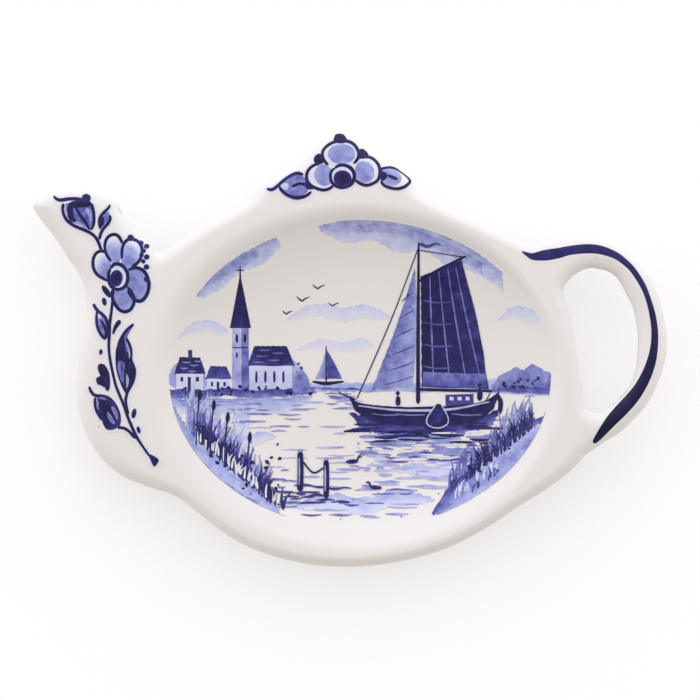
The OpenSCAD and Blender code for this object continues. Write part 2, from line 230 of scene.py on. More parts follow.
def wall_fall(way):
    """How far the wall falls, so that its slope meets the floor's: for each direction
    from the middle, its share of the depth from the two runs."""
    run = np.linalg.norm(way * (CREST_RADIUS - FLOOR_RADIUS), axis=-1)
    radius = np.linalg.norm(way * FLOOR_RADIUS, axis=-1)
    slope = FLOOR_POWER * (1 - crest_roll(way) / 2) * run / radius
    return WELL_DEPTH * slope / (1 + slope)


def floor_top(points):
    """The glaze on the hollow floor: it rises with a power of the way out."""
    offset = (points - FLOOR_MIDDLE) / FLOOR_RADIUS
    share = np.linalg.norm(offset, axis=-1)
    way = offset / np.maximum(share, 1e-9)[..., None]
    fall = wall_fall(way)
    return CREST_HEIGHT - fall - (WELL_DEPTH - fall) * (1 - share ** FLOOR_POWER)


# The whole upper surface in one grid of stations and steps: from the middle of the floor
# over its edge, the wall and the crest to the outer edge.
FLOOR_STEPS, WALL_STEPS, FLANGE_STEPS, BELLY_STEPS = 56, 18, 44, 12
# This power crowds the steps on the flanges towards the outer edge
EDGE_CROWDING = 2.3
floor_shares = np.arange(1, FLOOR_STEPS + 1)[None, :, None] / FLOOR_STEPS
floor_edge = (FLOOR_MIDDLE + crest_way * FLOOR_RADIUS)[:, None, :]
floor_grid = FLOOR_MIDDLE + (floor_edge - FLOOR_MIDDLE) * floor_shares
wall_shares = (1 - np.arange(1, WALL_STEPS + 1) / WALL_STEPS)[None, :, None]
crest_line = station_crest[:, None, :]
wall_grid = crest_line * (1 - wall_shares) + floor_edge * wall_shares
to_edge = 1 - np.arange(1, FLANGE_STEPS + 1)[None, :, None] / FLANGE_STEPS
flange_shares = 1 - to_edge ** EDGE_CROWDING
flange_grid = crest_line + (station_edge[:, None, :] - crest_line) * flange_shares
wall_part = wall_curve(wall_shares[..., 0], crest_roll(crest_way)[:, None])
wall_height = (CREST_HEIGHT - wall_fall(crest_way)[:, None] * wall_part
               - rolled(wall_grid, RIM_ROLL_WIDTH))
top = np.concatenate([
    np.dstack([floor_grid, floor_top(floor_grid)]),
    np.dstack([wall_grid, wall_height]),
    np.dstack([flange_grid, flange_top(flange_grid)])], axis=1)
CREST_STEP = FLOOR_STEPS + WALL_STEPS - 1


def surface_normals(grid, around=False):
    """Normals of a grid of points: across the two lines that cross at each point."""
    padded = np.concatenate([grid[-1:], grid, grid[:1]]) if around else grid
    along = np.gradient(padded, axis=0)
    along = along[1:-1] if around else along
    normals = np.cross(np.gradient(grid, axis=1), along)
    return normals / np.linalg.norm(normals, axis=2)[..., None]


top_normals = surface_normals(top, around=True)
under = np.dstack([flange_grid, flange_under(flange_grid)])
collar = np.dstack([crest_line, np.full(crest_line.shape[:2], COLLAR_HEIGHT)])
under = np.concatenate([collar, under], axis=1)


def placed(name, data):
    """A new object in the scene, at the origin."""
    item = bpy.data.objects.new(name, data)
    bpy.context.scene.collection.objects.link(item)
    return item


def quads(rows):
    """Faces between neighbouring rows of vertex numbers, in the order of the numbers."""
    return np.stack([rows[:-1, :-1], rows[1:, :-1], rows[1:, 1:], rows[:-1, 1:]],
                    axis=-1).reshape(-1, 4)


def fan(pole, line, turned=1):
    """Triangles between a pole and the neighbours on a line of vertex numbers. A turn of
    -1 reverses them."""
    near, far = (line[:-1], line[1:])[::turned]
    return np.column_stack([np.full(len(near), pole), near, far]).tolist()


def ware_mesh(name, points, faces, glazed=None, sharp_faces=0):
    """A closed mesh in metres, smooth all over, but for the flat faces that come last.
    Glazed vertices pass on the normals of the whole surface, so no seam shows."""
    mesh = bpy.data.meshes.new(name)
    mesh.from_pydata((np.asarray(points) * MILLIMETRE).tolist(), [], faces)
    flags = np.ones(len(mesh.polygons), bool)
    if sharp_faces:
        flags[-sharp_faces:] = False
    mesh.polygons.foreach_set("use_smooth", flags)
    mesh.validate()
    if glazed is not None:
        corners = np.empty(len(mesh.loops), int)
        mesh.loops.foreach_get("vertex_index", corners)
        sizes = np.empty(len(mesh.polygons), int)
        mesh.polygons.foreach_get("loop_total", sizes)
        face_of_corner = np.repeat(np.arange(len(sizes)), sizes)
        normals = np.zeros((len(points), 3))
        normals[:len(glazed)] = glazed
        wanted = normals[corners]
        lowest = np.minimum.reduceat(corners < len(glazed), np.r_[0, np.cumsum(sizes)[:-1]])
        wanted[~lowest[face_of_corner]] = 0
        mesh.normals_split_custom_set(wanted.tolist())
    return placed(name, mesh)


def add_node(tree, kind, values=(), **settings):
    """A shader node of one kind, with its settings and the values of its inputs."""
    node = tree.nodes.new("ShaderNode" + kind)
    for name, setting in settings.items():
        setattr(node, name, setting)
    for socket, value in dict(values).items():
        node.inputs[socket].default_value = value
    return node


def join(tree, *rows):
    """Links in a node tree: a row has a node, its output, another node and its input."""
    for source, output, target, socket in rows:
        tree.links.new(source.outputs[output], target.inputs[socket])


def node_material(name, values):
    """A material with nodes, and its shader with the values of its inputs."""
    material = bpy.data.materials.new(name)
    material.use_nodes = True
    shader = material.node_tree.nodes["Principled BSDF"]
    for socket, value in values.items():
        shader.inputs[socket].default_value = value
    return material, material.node_tree, shader


def glaze_nodes(name):
    """A material with the nodes that every glazed piece shares: warm white ware with a
    cloudy tint, fine iron specks, and a clear coat that dimples like orange peel."""
    material, tree, shader = node_material(name, {
        "Roughness": 0.32, "IOR": 1.5, "Specular IOR Level": 0.08, "Coat Weight": 0.36,
        "Coat Roughness": 0.08})
    place = add_node(tree, "TexCoord")
    cloud = add_node(tree, "TexNoise", {"Scale": 70.0, "Detail": 3.0})
    tint = add_node(tree, "Mix", data_type="RGBA",
                    values={"A": (0.735, 0.712, 0.690, 1), "B": (0.760, 0.740, 0.722, 1)})
    speck = add_node(tree, "TexVoronoi", {"Scale": 260.0})
    speck_size = add_node(tree, "MapRange", {"From Min": 0.035, "From Max": 0.075,
                                             "To Min": 1.0, "To Max": 0.0})
    few = add_node(tree, "SeparateColor")
    chosen = add_node(tree, "Math", {1: 0.82}, operation="GREATER_THAN")
    amount = add_node(tree, "Math", operation="MULTIPLY")
    strength = add_node(tree, "Math", {1: 0.45}, operation="MULTIPLY")
    specked = add_node(tree, "Mix", {"B": (0.16, 0.13, 0.12, 1)}, data_type="RGBA")
    dimple = add_node(tree, "TexNoise", {"Scale": 420.0, "Detail": 1.0})
    bump = add_node(tree, "Bump", {"Strength": 0.05, "Distance": 0.0004})
    join(tree, (place, "Object", cloud, "Vector"), (place, "Object", speck, "Vector"),
         (place, "Object", dimple, "Vector"), (cloud, "Fac", tint, "Factor"),
         (speck, "Distance", speck_size, "Value"), (speck, "Color", few, "Color"),
         (few, "Red", chosen, 0), (chosen, "Value", amount, 0),
         (speck_size, "Result", amount, 1), (amount, "Value", strength, 0),
         (strength, "Value", specked, "Factor"), (tint, "Result", specked, "A"),
         (specked, "Result", shader, "Base Color"), (dimple, "Fac", bump, "Height"),
         (bump, "Normal", shader, "Coat Normal"))
    return material, shader, specked


white_glaze, _, _ = glaze_nodes("white_glaze")


def belly_wall():
    """The outer wall from the collar down to the base: a quarter of an ellipse."""
    angle = np.linspace(0, math.pi / 2, BELLY_STEPS + 1)[None, 1:, None]
    foot = (CREST_MIDDLE + crest_way * BASE_RADIUS)[:, None, :]
    level = foot + (crest_line - foot) * np.cos(angle)
    height = COLLAR_HEIGHT - (COLLAR_HEIGHT - FOOT_HEIGHT) * np.sin(angle[..., 0])
    return np.dstack([level, np.broadcast_to(height, level.shape[:2])])


stations = len(station_edge)
bowl_top = top[:, :CREST_STEP + 1]
floor_pole = np.array([[*FLOOR_MIDDLE, CREST_HEIGHT - WELL_DEPTH]])
base_pole = np.array([[*CREST_MIDDLE, FOOT_HEIGHT]])
top_points = bowl_top.reshape(-1, 3)
rest_points = np.concatenate([collar, belly_wall()], axis=1).reshape(-1, 3)
bowl_points = np.vstack([top_points, floor_pole, rest_points, base_pole])
top_numbers = np.arange(len(top_points)).reshape(stations, -1)
rest_numbers = len(top_points) + 1 + np.arange(len(rest_points)).reshape(stations, -1)
ring_numbers = np.concatenate([top_numbers, rest_numbers], axis=1)
ring_numbers = np.concatenate([ring_numbers, ring_numbers[:1]])
upper_pole, lower_pole = len(top_points), len(bowl_points) - 1
bowl_faces = (quads(ring_numbers)[:, ::-1].tolist() + fan(upper_pole, ring_numbers[:, 0])
              + fan(lower_pole, ring_numbers[:, -1], -1))
bowl_normals = np.vstack([top_normals[:, :CREST_STEP + 1].reshape(-1, 3), [[0, 0, 1]]])
bowl = ware_mesh("Bowl", bowl_points, bowl_faces, bowl_normals)
bowl.data.materials.append(white_glaze)
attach(bowl, "root")
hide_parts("bowl")

# The rim, the spout and the lid
# Flanges of the same pressed ware that grow from the crest, flat on top with a broad
# rolled edge. The clay turns under them into the bowl's collar.


def shell_faces(upper, lower, turned=1):
    """Faces of a closed shell from the vertex numbers of its upper and its lower side, with
    those that close its two ends last, and their count. A turn of -1 reverses them."""
    ring = np.concatenate([upper, lower[:, ::-1], upper[:, :1]], axis=1)
    ends = []
    for line, way in ((0, turned), (-1, -turned)):
        above, below = upper[line], lower[line]
        strip = np.stack([above[:-1], above[1:], below[1:], below[:-1]], axis=1)
        ends += strip[:, ::way].tolist()
    return quads(ring)[:, ::turned].tolist() + ends, len(ends)


def glazed_shell(name, upper, lower, normals, turned):
    """A closed glazed piece from its upper side and its lower one, whose rows run back."""
    numbers = np.arange(2 * upper[..., 0].size).reshape(2, *upper.shape[:2])
    faces, end_count = shell_faces(numbers[0], numbers[1][:, ::-1], turned)
    points = np.vstack([upper.reshape(-1, 3), lower.reshape(-1, 3)])
    piece = ware_mesh(name, points, faces, normals.reshape(-1, 3), end_count)
    piece.data.materials.append(white_glaze)
    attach(piece, "root")
    return piece


def flange_piece(name, first, last):
    """A stretch of flange between two stations: its top, its narrow upright edge, its
    underside, the upright face at the crest, and a flat face at each end."""
    turn = np.arange(first, last + 1) % stations
    return glazed_shell(name, top[turn, CREST_STEP:], under[turn, ::-1],
                        top_normals[turn, CREST_STEP:], turned=-1)


spout_start, front_start = FIRST_SPOUT_ROW * STEPS_PER_ROW, FIRST_FRONT_ROW * STEPS_PER_ROW
rim = flange_piece("Rim", front_start, stations)
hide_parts("rim")
spout = flange_piece("Spout", spout_start, front_start)
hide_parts("spout")
lid = flange_piece("Lid", 0, spout_start)
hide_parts("lid")

# The handle
# A flat loop of the same ware between two roots on the handle side of the rim, rounded
# all round, with a gap for a fingertip.
HANDLE_STEPS = 40
outer_line = np.vstack([outer_edge[belly_count - 1:], outer_edge[:1]])[::-1]
inner_line = np.vstack([gap_edge[gap_side_count - 1:], gap_edge[:1]])
across = ((1 - np.cos(math.pi * np.arange(HANDLE_STEPS + 1) / HANDLE_STEPS)) / 2)[None, :, None]
handle_grid = inner_line[:, None, :] * (1 - across) + outer_line[:, None, :] * across
handle_top = np.dstack([handle_grid, flange_top(handle_grid)])
handle_under = np.dstack([handle_grid, flange_under(handle_grid)])[:, ::-1]
handle = glazed_shell("Handle", handle_top, handle_under, -surface_normals(handle_top),
                      turned=1)
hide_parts("handle")

# The foot ring
# An oval ring under the bowl. Its face is wiped bare of glaze before firing, so that it
# doesn't stick to the kiln shelf, and feels matt and slightly rough.
FOOT_RADIUS = np.array([34.0, 27.2])
FOOT_WIDTH, FOOT_SIDES = 3.0, 360
# Rows of the ring's profile: how far in from its outside, and the height
FOOT_PROFILE = [(0.0, 1.5), (0.0, 1.1), (0.04, 0.62), (0.2, 0.26), (0.52, 0.05), (0.9, 0.0),
                (1.5, 0.0), (2.1, 0.0), (2.48, 0.05), (2.8, 0.26), (2.96, 0.62), (3.0, 1.1),
                (3.0, 1.5)]
profile = curve_through(FOOT_PROFILE, 4)
turns = np.linspace(0, 2 * math.pi, FOOT_SIDES + 1)[:-1]
way = np.column_stack([np.cos(turns), np.sin(turns)])[:, None, :]
foot_inset = np.clip(profile[:, :1], 0, FOOT_WIDTH)[None, :, :]
foot_level = CREST_MIDDLE + way * (FOOT_RADIUS - foot_inset)
foot_height = np.broadcast_to(np.clip(profile[:, 1], 0, FOOT_HEIGHT), foot_level.shape[:2])
foot_points = np.dstack([foot_level, foot_height])
foot_numbers = np.arange(foot_level[..., 0].size).reshape(foot_level.shape[:2])
foot_numbers = np.concatenate([foot_numbers, foot_numbers[:1]])
foot_numbers = np.concatenate([foot_numbers, foot_numbers[:, :1]], axis=1)
foot_ring = ware_mesh("Foot_ring", foot_points.reshape(-1, 3),
                      quads(foot_numbers)[:, ::-1].tolist())
bare_foot, tree, clay = node_material("bare_foot", {"IOR": 1.45})
place = add_node(tree, "TexCoord")
height = add_node(tree, "SeparateXYZ")
grit = add_node(tree, "TexNoise", {"Scale": 900.0, "Detail": 4.0})
glaze_line = add_node(tree, "MapRange", {"From Min": 0.00045, "From Max": 0.00060})
clay_tone = add_node(tree, "Mix", data_type="RGBA",
                     values={"A": (0.60, 0.53, 0.44, 1), "B": (0.72, 0.66, 0.57, 1)})
foot_tone = add_node(tree, "Mix", {"B": (0.75, 0.73, 0.72, 1)}, data_type="RGBA")
foot_gloss = add_node(tree, "MapRange", {"To Min": 0.85, "To Max": 0.25})
foot_bump = add_node(tree, "Bump", {"Strength": 0.25, "Distance": 0.0002})
join(tree, (place, "Object", height, "Vector"), (place, "Object", grit, "Vector"),
     (height, "Z", glaze_line, "Value"), (grit, "Fac", clay_tone, "Factor"),
     (clay_tone, "Result", foot_tone, "A"), (glaze_line, "Result", foot_tone, "Factor"),
     (foot_tone, "Result", clay, "Base Color"), (glaze_line, "Result", foot_gloss, "Value"),
     (foot_gloss, "Result", clay, "Roughness"), (grit, "Fac", foot_bump, "Height"),
     (foot_bump, "Normal", clay, "Normal"))
foot_ring.data.materials.append(bare_foot)
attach(foot_ring, "root")
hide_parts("foot_ring")

# The sprig on the spout
# A flower sprig painted freehand in cobalt and fired under the gloss: dark outlines that
# bleed a little into the glaze, pale washes in the petals, and nearly black leaves.

# In sketch units, the spacing of the points along strokes, fine strokes, blots and
# patches, and of the rings in a blot
STROKE_SPACING, FINE_SPACING, BLOT_SPACING, PATCH_SPACING = 2.6, 5.5, 1.8, 3.1
RING_SPACING = 1.7
# Half a stroke's width: the least, the least that rounds off an end, what an outline adds,
# and the least that a bleed is measured by
LEAST_HALF, LEAST_CAP, FULLER, LEAST_SIZE = 0.25, 0.3, 0.3, 0.4
# A stroke's end is a little blunt, and its edges have a share of its tone, as a blot's have
BLUNT_TIP, SOFT_EDGE, SOFT_RIM = 0.12, 0.8, 0.85
# How far a dark touch bleeds into the glaze and how fast that fades, and how near to the
# edge of the ware, in millimetres, nothing bleeds
BLEED, FADE, BLEED_MARGIN = 2.9, 2.2, 0.75
# The tone of a dark touch, the points round an oval one, and the waves of an uneven edge
DARK, OVAL_POINTS, WAVES = 0.96, 8, (1.9, 0.83)


def curve_steps(rows, spacing):
    """How many steps a curve needs in its longest span, so that none is over the spacing."""
    spans = np.diff(np.asarray(rows, float)[:, :2], axis=0)
    return max(2, math.ceil(np.linalg.norm(spans, axis=1).max() / spacing))


def shape_of(grid, tones, **middle):
    """A shape to paint: a grid of points, the tone of each, and a middle for closed rings."""
    return {"grid": grid, "tone": np.broadcast_to(tones, grid.shape[:2]), **middle}


def brush_line(rows, tone=DARK, across=5, spacing=STROKE_SPACING):
    """One stroke. Rows are x, y and half the width: a smooth curve through them, some
    points across, with both ends rounded off as a brush leaves them."""
    path = curve_through(rows, max(3, curve_steps(rows, spacing)))
    along = np.gradient(path[:, :2], axis=0)
    along /= np.maximum(np.linalg.norm(along, axis=1), 1e-6)[:, None]
    length = np.r_[0, np.cumsum(np.linalg.norm(np.diff(path[:, :2], axis=0), axis=1))]
    from_end = np.minimum(length, length[-1] - length) + BLUNT_TIP
    cap = np.minimum(1, from_end / np.maximum(path[:, 2], LEAST_CAP))
    half = np.maximum(path[:, 2], LEAST_HALF) * np.sqrt(1 - (1 - cap) ** 2)
    share = np.sin(np.linspace(-math.pi / 2, math.pi / 2, across))
    side = np.column_stack([-along[:, 1], along[:, 0]])
    grid = path[:, None, :2] + side[:, None, :] * (half[:, None] * share)[..., None]
    tones = np.full(across, float(tone))
    tones[[0, -1]] *= SOFT_EDGE if across > 3 else 1
    return shape_of(grid, tones)


def halo(shape, tone=0.15, reach=BLEED):
    """The pale blue that a dark touch bleeds into the glaze round it: the same shape, a
    little larger on every side, fading to nothing at its edge."""
    grid = shape["grid"]
    core = shape["middle"] if "middle" in shape else grid[:, grid.shape[1] // 2][:, None]
    away = grid - core
    size = np.linalg.norm(away, axis=-1)[:, -1:, None]
    larger = core + away * (1 + reach / np.maximum(size, LEAST_SIZE))
    share = np.linalg.norm(away, axis=-1) / np.maximum(size[..., 0], 1e-6)
    return {**shape, "grid": larger, "tone": tone * np.clip(FADE * (1 - share), 0, 1),
            "middle_tone": tone}


def blot(points, tone=DARK, rim_tone=None):
    """A patch of colour: a smooth closed curve through the points, filled by rings that
    shrink towards its middle. The tone may change from the middle to the rim."""
    edge = curve_through(points, max(3, curve_steps(points, BLOT_SPACING)), closed=True)
    middle = edge.mean(axis=0)
    rings = max(3, math.ceil(np.linalg.norm(edge - middle, axis=1).max() / RING_SPACING))
    shares = np.arange(1, rings + 1) / rings
    grid = middle + (edge - middle)[:, None, :] * shares[None, :, None]
    rim_tone = tone * SOFT_RIM if rim_tone is None else rim_tone
    tones = tone + (rim_tone - tone) * shares ** 3
    return shape_of(grid, tones, middle=middle, middle_tone=tone)


def between(first, second, tone, other=None, rough=0.0):
    """A patch from one curve to another, with a slow change of tone from the first to the
    second and a slightly uneven edge."""
    steps = max(curve_steps(first, PATCH_SPACING), curve_steps(second, PATCH_SPACING))
    one = curve_through(np.array(first, float), steps)
    two = curve_through(np.array(second, float), steps)
    widest = np.linalg.norm(two - one, axis=1).max()
    share = np.linspace(0, 1, max(3, math.ceil(widest / PATCH_SPACING) + 1))
    grid = one[:, None] + (two - one)[:, None] * share[:, None]
    grid = grid + rough * np.sin(WAVES[0] * grid[..., ::-1] + WAVES[1] * grid)
    other = tone if other is None else other
    tones = tone + (other - tone) * share
    return shape_of(grid, tones)


def oval_spot(x, y, half_width, half_height, turn=0.0, tone=DARK):
    """A small oval touch of the brush: an ellipse turned by some degrees."""
    angle = np.linspace(0, 2 * math.pi, OVAL_POINTS + 1)[:-1]
    c, s = math.cos(math.radians(turn)), math.sin(math.radians(turn))
    a, b = half_width * np.cos(angle), half_height * np.sin(angle)
    return blot(np.column_stack([x + a * c - b * s, y + a * s + b * c]), tone)


def touches(rows):
    """Dark touches from a table: plain numbers are an oval spot, a list of points with half
    a width is an outline, drawn a little fuller, and a list of plain points is a blot."""
    made = []
    for row in rows:
        if isinstance(row, tuple):
            made.append(oval_spot(*row))
        elif len(row[0]) == 3:
            made.append(brush_line([(x, y, half + FULLER) for x, y, half in row]))
        else:
            made.append(blot(row))
    return made


def colour_ramp(tree, stops):
    """A ramp of colours, from stops that each have a place on it and a colour."""
    ramp = add_node(tree, "ValToRGB")
    elements = ramp.color_ramp.elements
    for element, (position, colour) in zip(elements, (stops[0], stops[-1])):
        element.position, element.color = position, (*colour, 1)
    for position, colour in stops[1:-1]:
        elements.new(position).color = (*colour, 1)
    return ramp


def cobalt_nodes(name):
    """The glaze with cobalt under it: a vertex attribute tells how strong the colour is,
    noise lets washes pool and thin out, and a ramp turns strength into pale to navy."""
    material, shader, white = glaze_nodes(name)
    tree = material.node_tree
    place = add_node(tree, "TexCoord")
    strength = add_node(tree, "Attribute", attribute_name="cobalt")
    pooling = add_node(tree, "TexNoise", {"Scale": 520.0, "Detail": 5.0, "Roughness": 0.62})
    swing = add_node(tree, "MapRange", {"From Min": 0.25, "From Max": 0.75,
                                        "To Min": -0.5, "To Max": 0.5})
    rest = add_node(tree, "Math", {0: 1.07}, operation="SUBTRACT")
    room = add_node(tree, "Math", operation="MULTIPLY")
    wave = add_node(tree, "Math", operation="MULTIPLY")
    depth = add_node(tree, "Math", operation="ADD", use_clamp=True)
    ramp = colour_ramp(tree, [
        (0.0, (0.75, 0.73, 0.72)), (0.2, (0.57, 0.60, 0.80)), (0.42, (0.31, 0.345, 0.64)),
        (0.68, (0.085, 0.09, 0.36)), (0.86, (0.018, 0.016, 0.125)), (1.0, (0.003, 0.0028, 0.033))])
    cover = add_node(tree, "MapRange", {"From Max": 0.12})
    tinted = add_node(tree, "Mix", data_type="RGBA")
    join(tree, (place, "Object", pooling, "Vector"), (pooling, "Fac", swing, "Value"),
         (strength, "Fac", rest, 1), (strength, "Fac", room, 0), (rest, "Value", room, 1),
         (room, "Value", wave, 0), (swing, "Result", wave, 1), (strength, "Fac", depth, 0),
         (wave, "Value", depth, 1), (depth, "Value", ramp, "Fac"),
         (strength, "Fac", cover, "Value"), (cover, "Result", tinted, "Factor"),
         (white, "Result", tinted, "A"), (ramp, "Color", tinted, "B"),
         (tinted, "Result", shader, "Base Color"))
    return material


painted_cobalt = cobalt_nodes("painted_cobalt")

# In millimetres, how far the first coat's upper side lies above the glaze and its lower
# side below, and the angle over which a film's edge is sharp
FILM_LIFT, FILM_DEPTH, SHARP_ANGLE = 0.03, -0.01, math.radians(50)


def layered(coats):
    """Every shape with the number of its coat, which is one shape or a list of shapes."""
    return [(order, shape) for order, coat in enumerate(coats)
            for shape in (coat if isinstance(coat, list) else [coat])]


def fired_film(name, coats, height_of, step):
    """All the shapes as thin closed films draped on the glaze. The upper side follows the
    glaze and the lower side lies just inside it, each coat's a step beyond the last's."""
    points, strengths, faces, start = [], [], [], 0
    for order, shape in layered(coats):
        rows, columns = shape["grid"].shape[:2]
        level = on_table(shape["grid"])
        turn = level[1:, :-1] - level[:-1, :-1], level[:-1, 1:] - level[:-1, :-1]
        area = turn[0][..., 0] * turn[1][..., 1] - turn[0][..., 1] * turn[1][..., 0]
        numbers = start + np.arange(2 * rows * columns).reshape(2, rows, columns)
        lift, depth = FILM_LIFT + step * order, FILM_DEPTH - step * order
        for rise in (lift, depth):
            points.append(np.dstack([level, np.full(level.shape[:2], rise)]).reshape(-1, 3))
        strengths += [shape["tone"].ravel(), shape["tone"].ravel()]
        start += 2 * rows * columns
        if "middle" in shape:
            middle = on_table(shape["middle"])
            points.append(np.array([[*middle, lift], [*middle, depth]]))
            strengths.append(np.full(2, shape["middle_tone"]))
            ring = np.concatenate([numbers[0], numbers[1][:, ::-1]], axis=1)
            ring = np.concatenate([ring, ring[:1]])
            part = (quads(ring).tolist() + fan(start, ring[:, 0], -1)
                    + fan(start + 1, ring[:, -1]))
            start += 2
        else:
            part = shell_faces(*numbers)[0]
        faces += part if area.sum() > 0 else [face[::-1] for face in part]
    points = np.vstack(points)
    points[:, 2] += height_of(points[:, :2])
    mesh = bpy.data.meshes.new(name)
    mesh.from_pydata((points * MILLIMETRE).tolist(), [], faces)
    mesh.polygons.foreach_set("use_smooth", np.ones(len(mesh.polygons), bool))
    mesh.set_sharp_from_angle(angle=SHARP_ANGLE)
    cobalt = mesh.attributes.new("cobalt", "FLOAT", "POINT")
    cobalt.data.foreach_set("value", np.concatenate(strengths).astype(np.float32))
    mesh.materials.append(painted_cobalt)
    piece = placed(name, mesh)
    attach(piece, "root")
    return piece


# The middle of the flower's eye
EYE = (117.0, 277.0)


def round_petal(points, full, none, tone):
    """A petal's wash: full tone up to a distance from the flower's eye, none beyond
    another, and a power of the way between them."""
    petal = blot(points)
    for tones, places in (("tone", "grid"), ("middle_tone", "middle")):
        distance = np.hypot(petal[places][..., 0] - EYE[0], petal[places][..., 1] - EYE[1])
        petal[tones] = tone * (1 - np.clip((distance - full) / (none - full), 0, 1) ** 1.5)
    return petal


sprig_washes = [
    round_petal([(104.9, 251), (105.4, 242.4), (107.7, 237.8), (111.8, 234.9), (116.4, 234.9),
                 (120.4, 238.4), (122, 246), (121, 258), (116, 265), (110, 260)], 22, 41, 0.52),
    round_petal([(122, 258.5), (122, 249), (124, 243), (130, 239), (137, 240.5), (141.5, 247),
                 (141.5, 256), (137.5, 263.5), (129, 268.5), (122, 266)], 22, 40, 0.52),
    round_petal([(106.5, 252), (99, 251.6), (94.5, 256), (93.4, 262.5), (94.5, 270), (99, 275.5),
                 (106, 279), (110, 270), (110.5, 260)], 13, 29, 0.52),
    round_petal([(126.6, 281), (126, 272), (131, 268.6), (137, 268.6), (143, 271.5), (147.4, 278),
                 (148.4, 286), (146.6, 294), (142, 299.6), (137, 299.8), (131.5, 295.6),
                 (127.5, 289.5)], 26, 44, 0.53),
    round_petal([(112.4, 288.8), (119, 285), (126, 286.5), (131, 292), (134.2, 299), (133.2, 304.4),
                 (129.6, 309), (124.5, 311), (119, 308.6), (115, 302.6), (112.6, 296)],
                28, 44, 0.53),
    oval_spot(118.4, 276.4, 8.6, 11.8, 0, 0.2),
    blot([(66, 203.5), (79, 202.5), (91, 203.5), (93, 212), (93, 222), (91, 229.5), (82, 226),
          (73.5, 222.5), (67, 216.5), (64.2, 209)], 0.68),
    brush_line([(86, 208, 1.6), (90, 215, 1.8), (90.4, 222, 1.3)], 0.46),
    brush_line([(76, 222, 0.8), (81, 224.5, 1.2), (86.6, 228.4, 0.8)], 0.5),
    blot([(106, 211), (109.5, 213.5), (109.5, 219.5), (106.5, 224), (103, 228), (101.5, 222),
          (103, 215)], 0.62),
    blot([(95.5, 307), (99.5, 312.5), (103.5, 316), (106, 320.5), (108, 327), (107, 334.5),
          (104, 337), (100.5, 332), (97.8, 326), (96.8, 318)], 0.62),
    between([(133.6, 324.4), (124.4, 335), (118.6, 349), (117.6, 362), (119.8, 376), (123.6, 386.6),
             (127, 393)],
            [(134, 325), (127.4, 338.6), (131, 352), (131.8, 362), (134.4, 372), (131.4, 385),
             (127.4, 393)], 0.66),
    blot([(97, 309.5), (99.5, 313), (101.5, 317), (99.5, 319), (97.4, 316)], 0.24)]
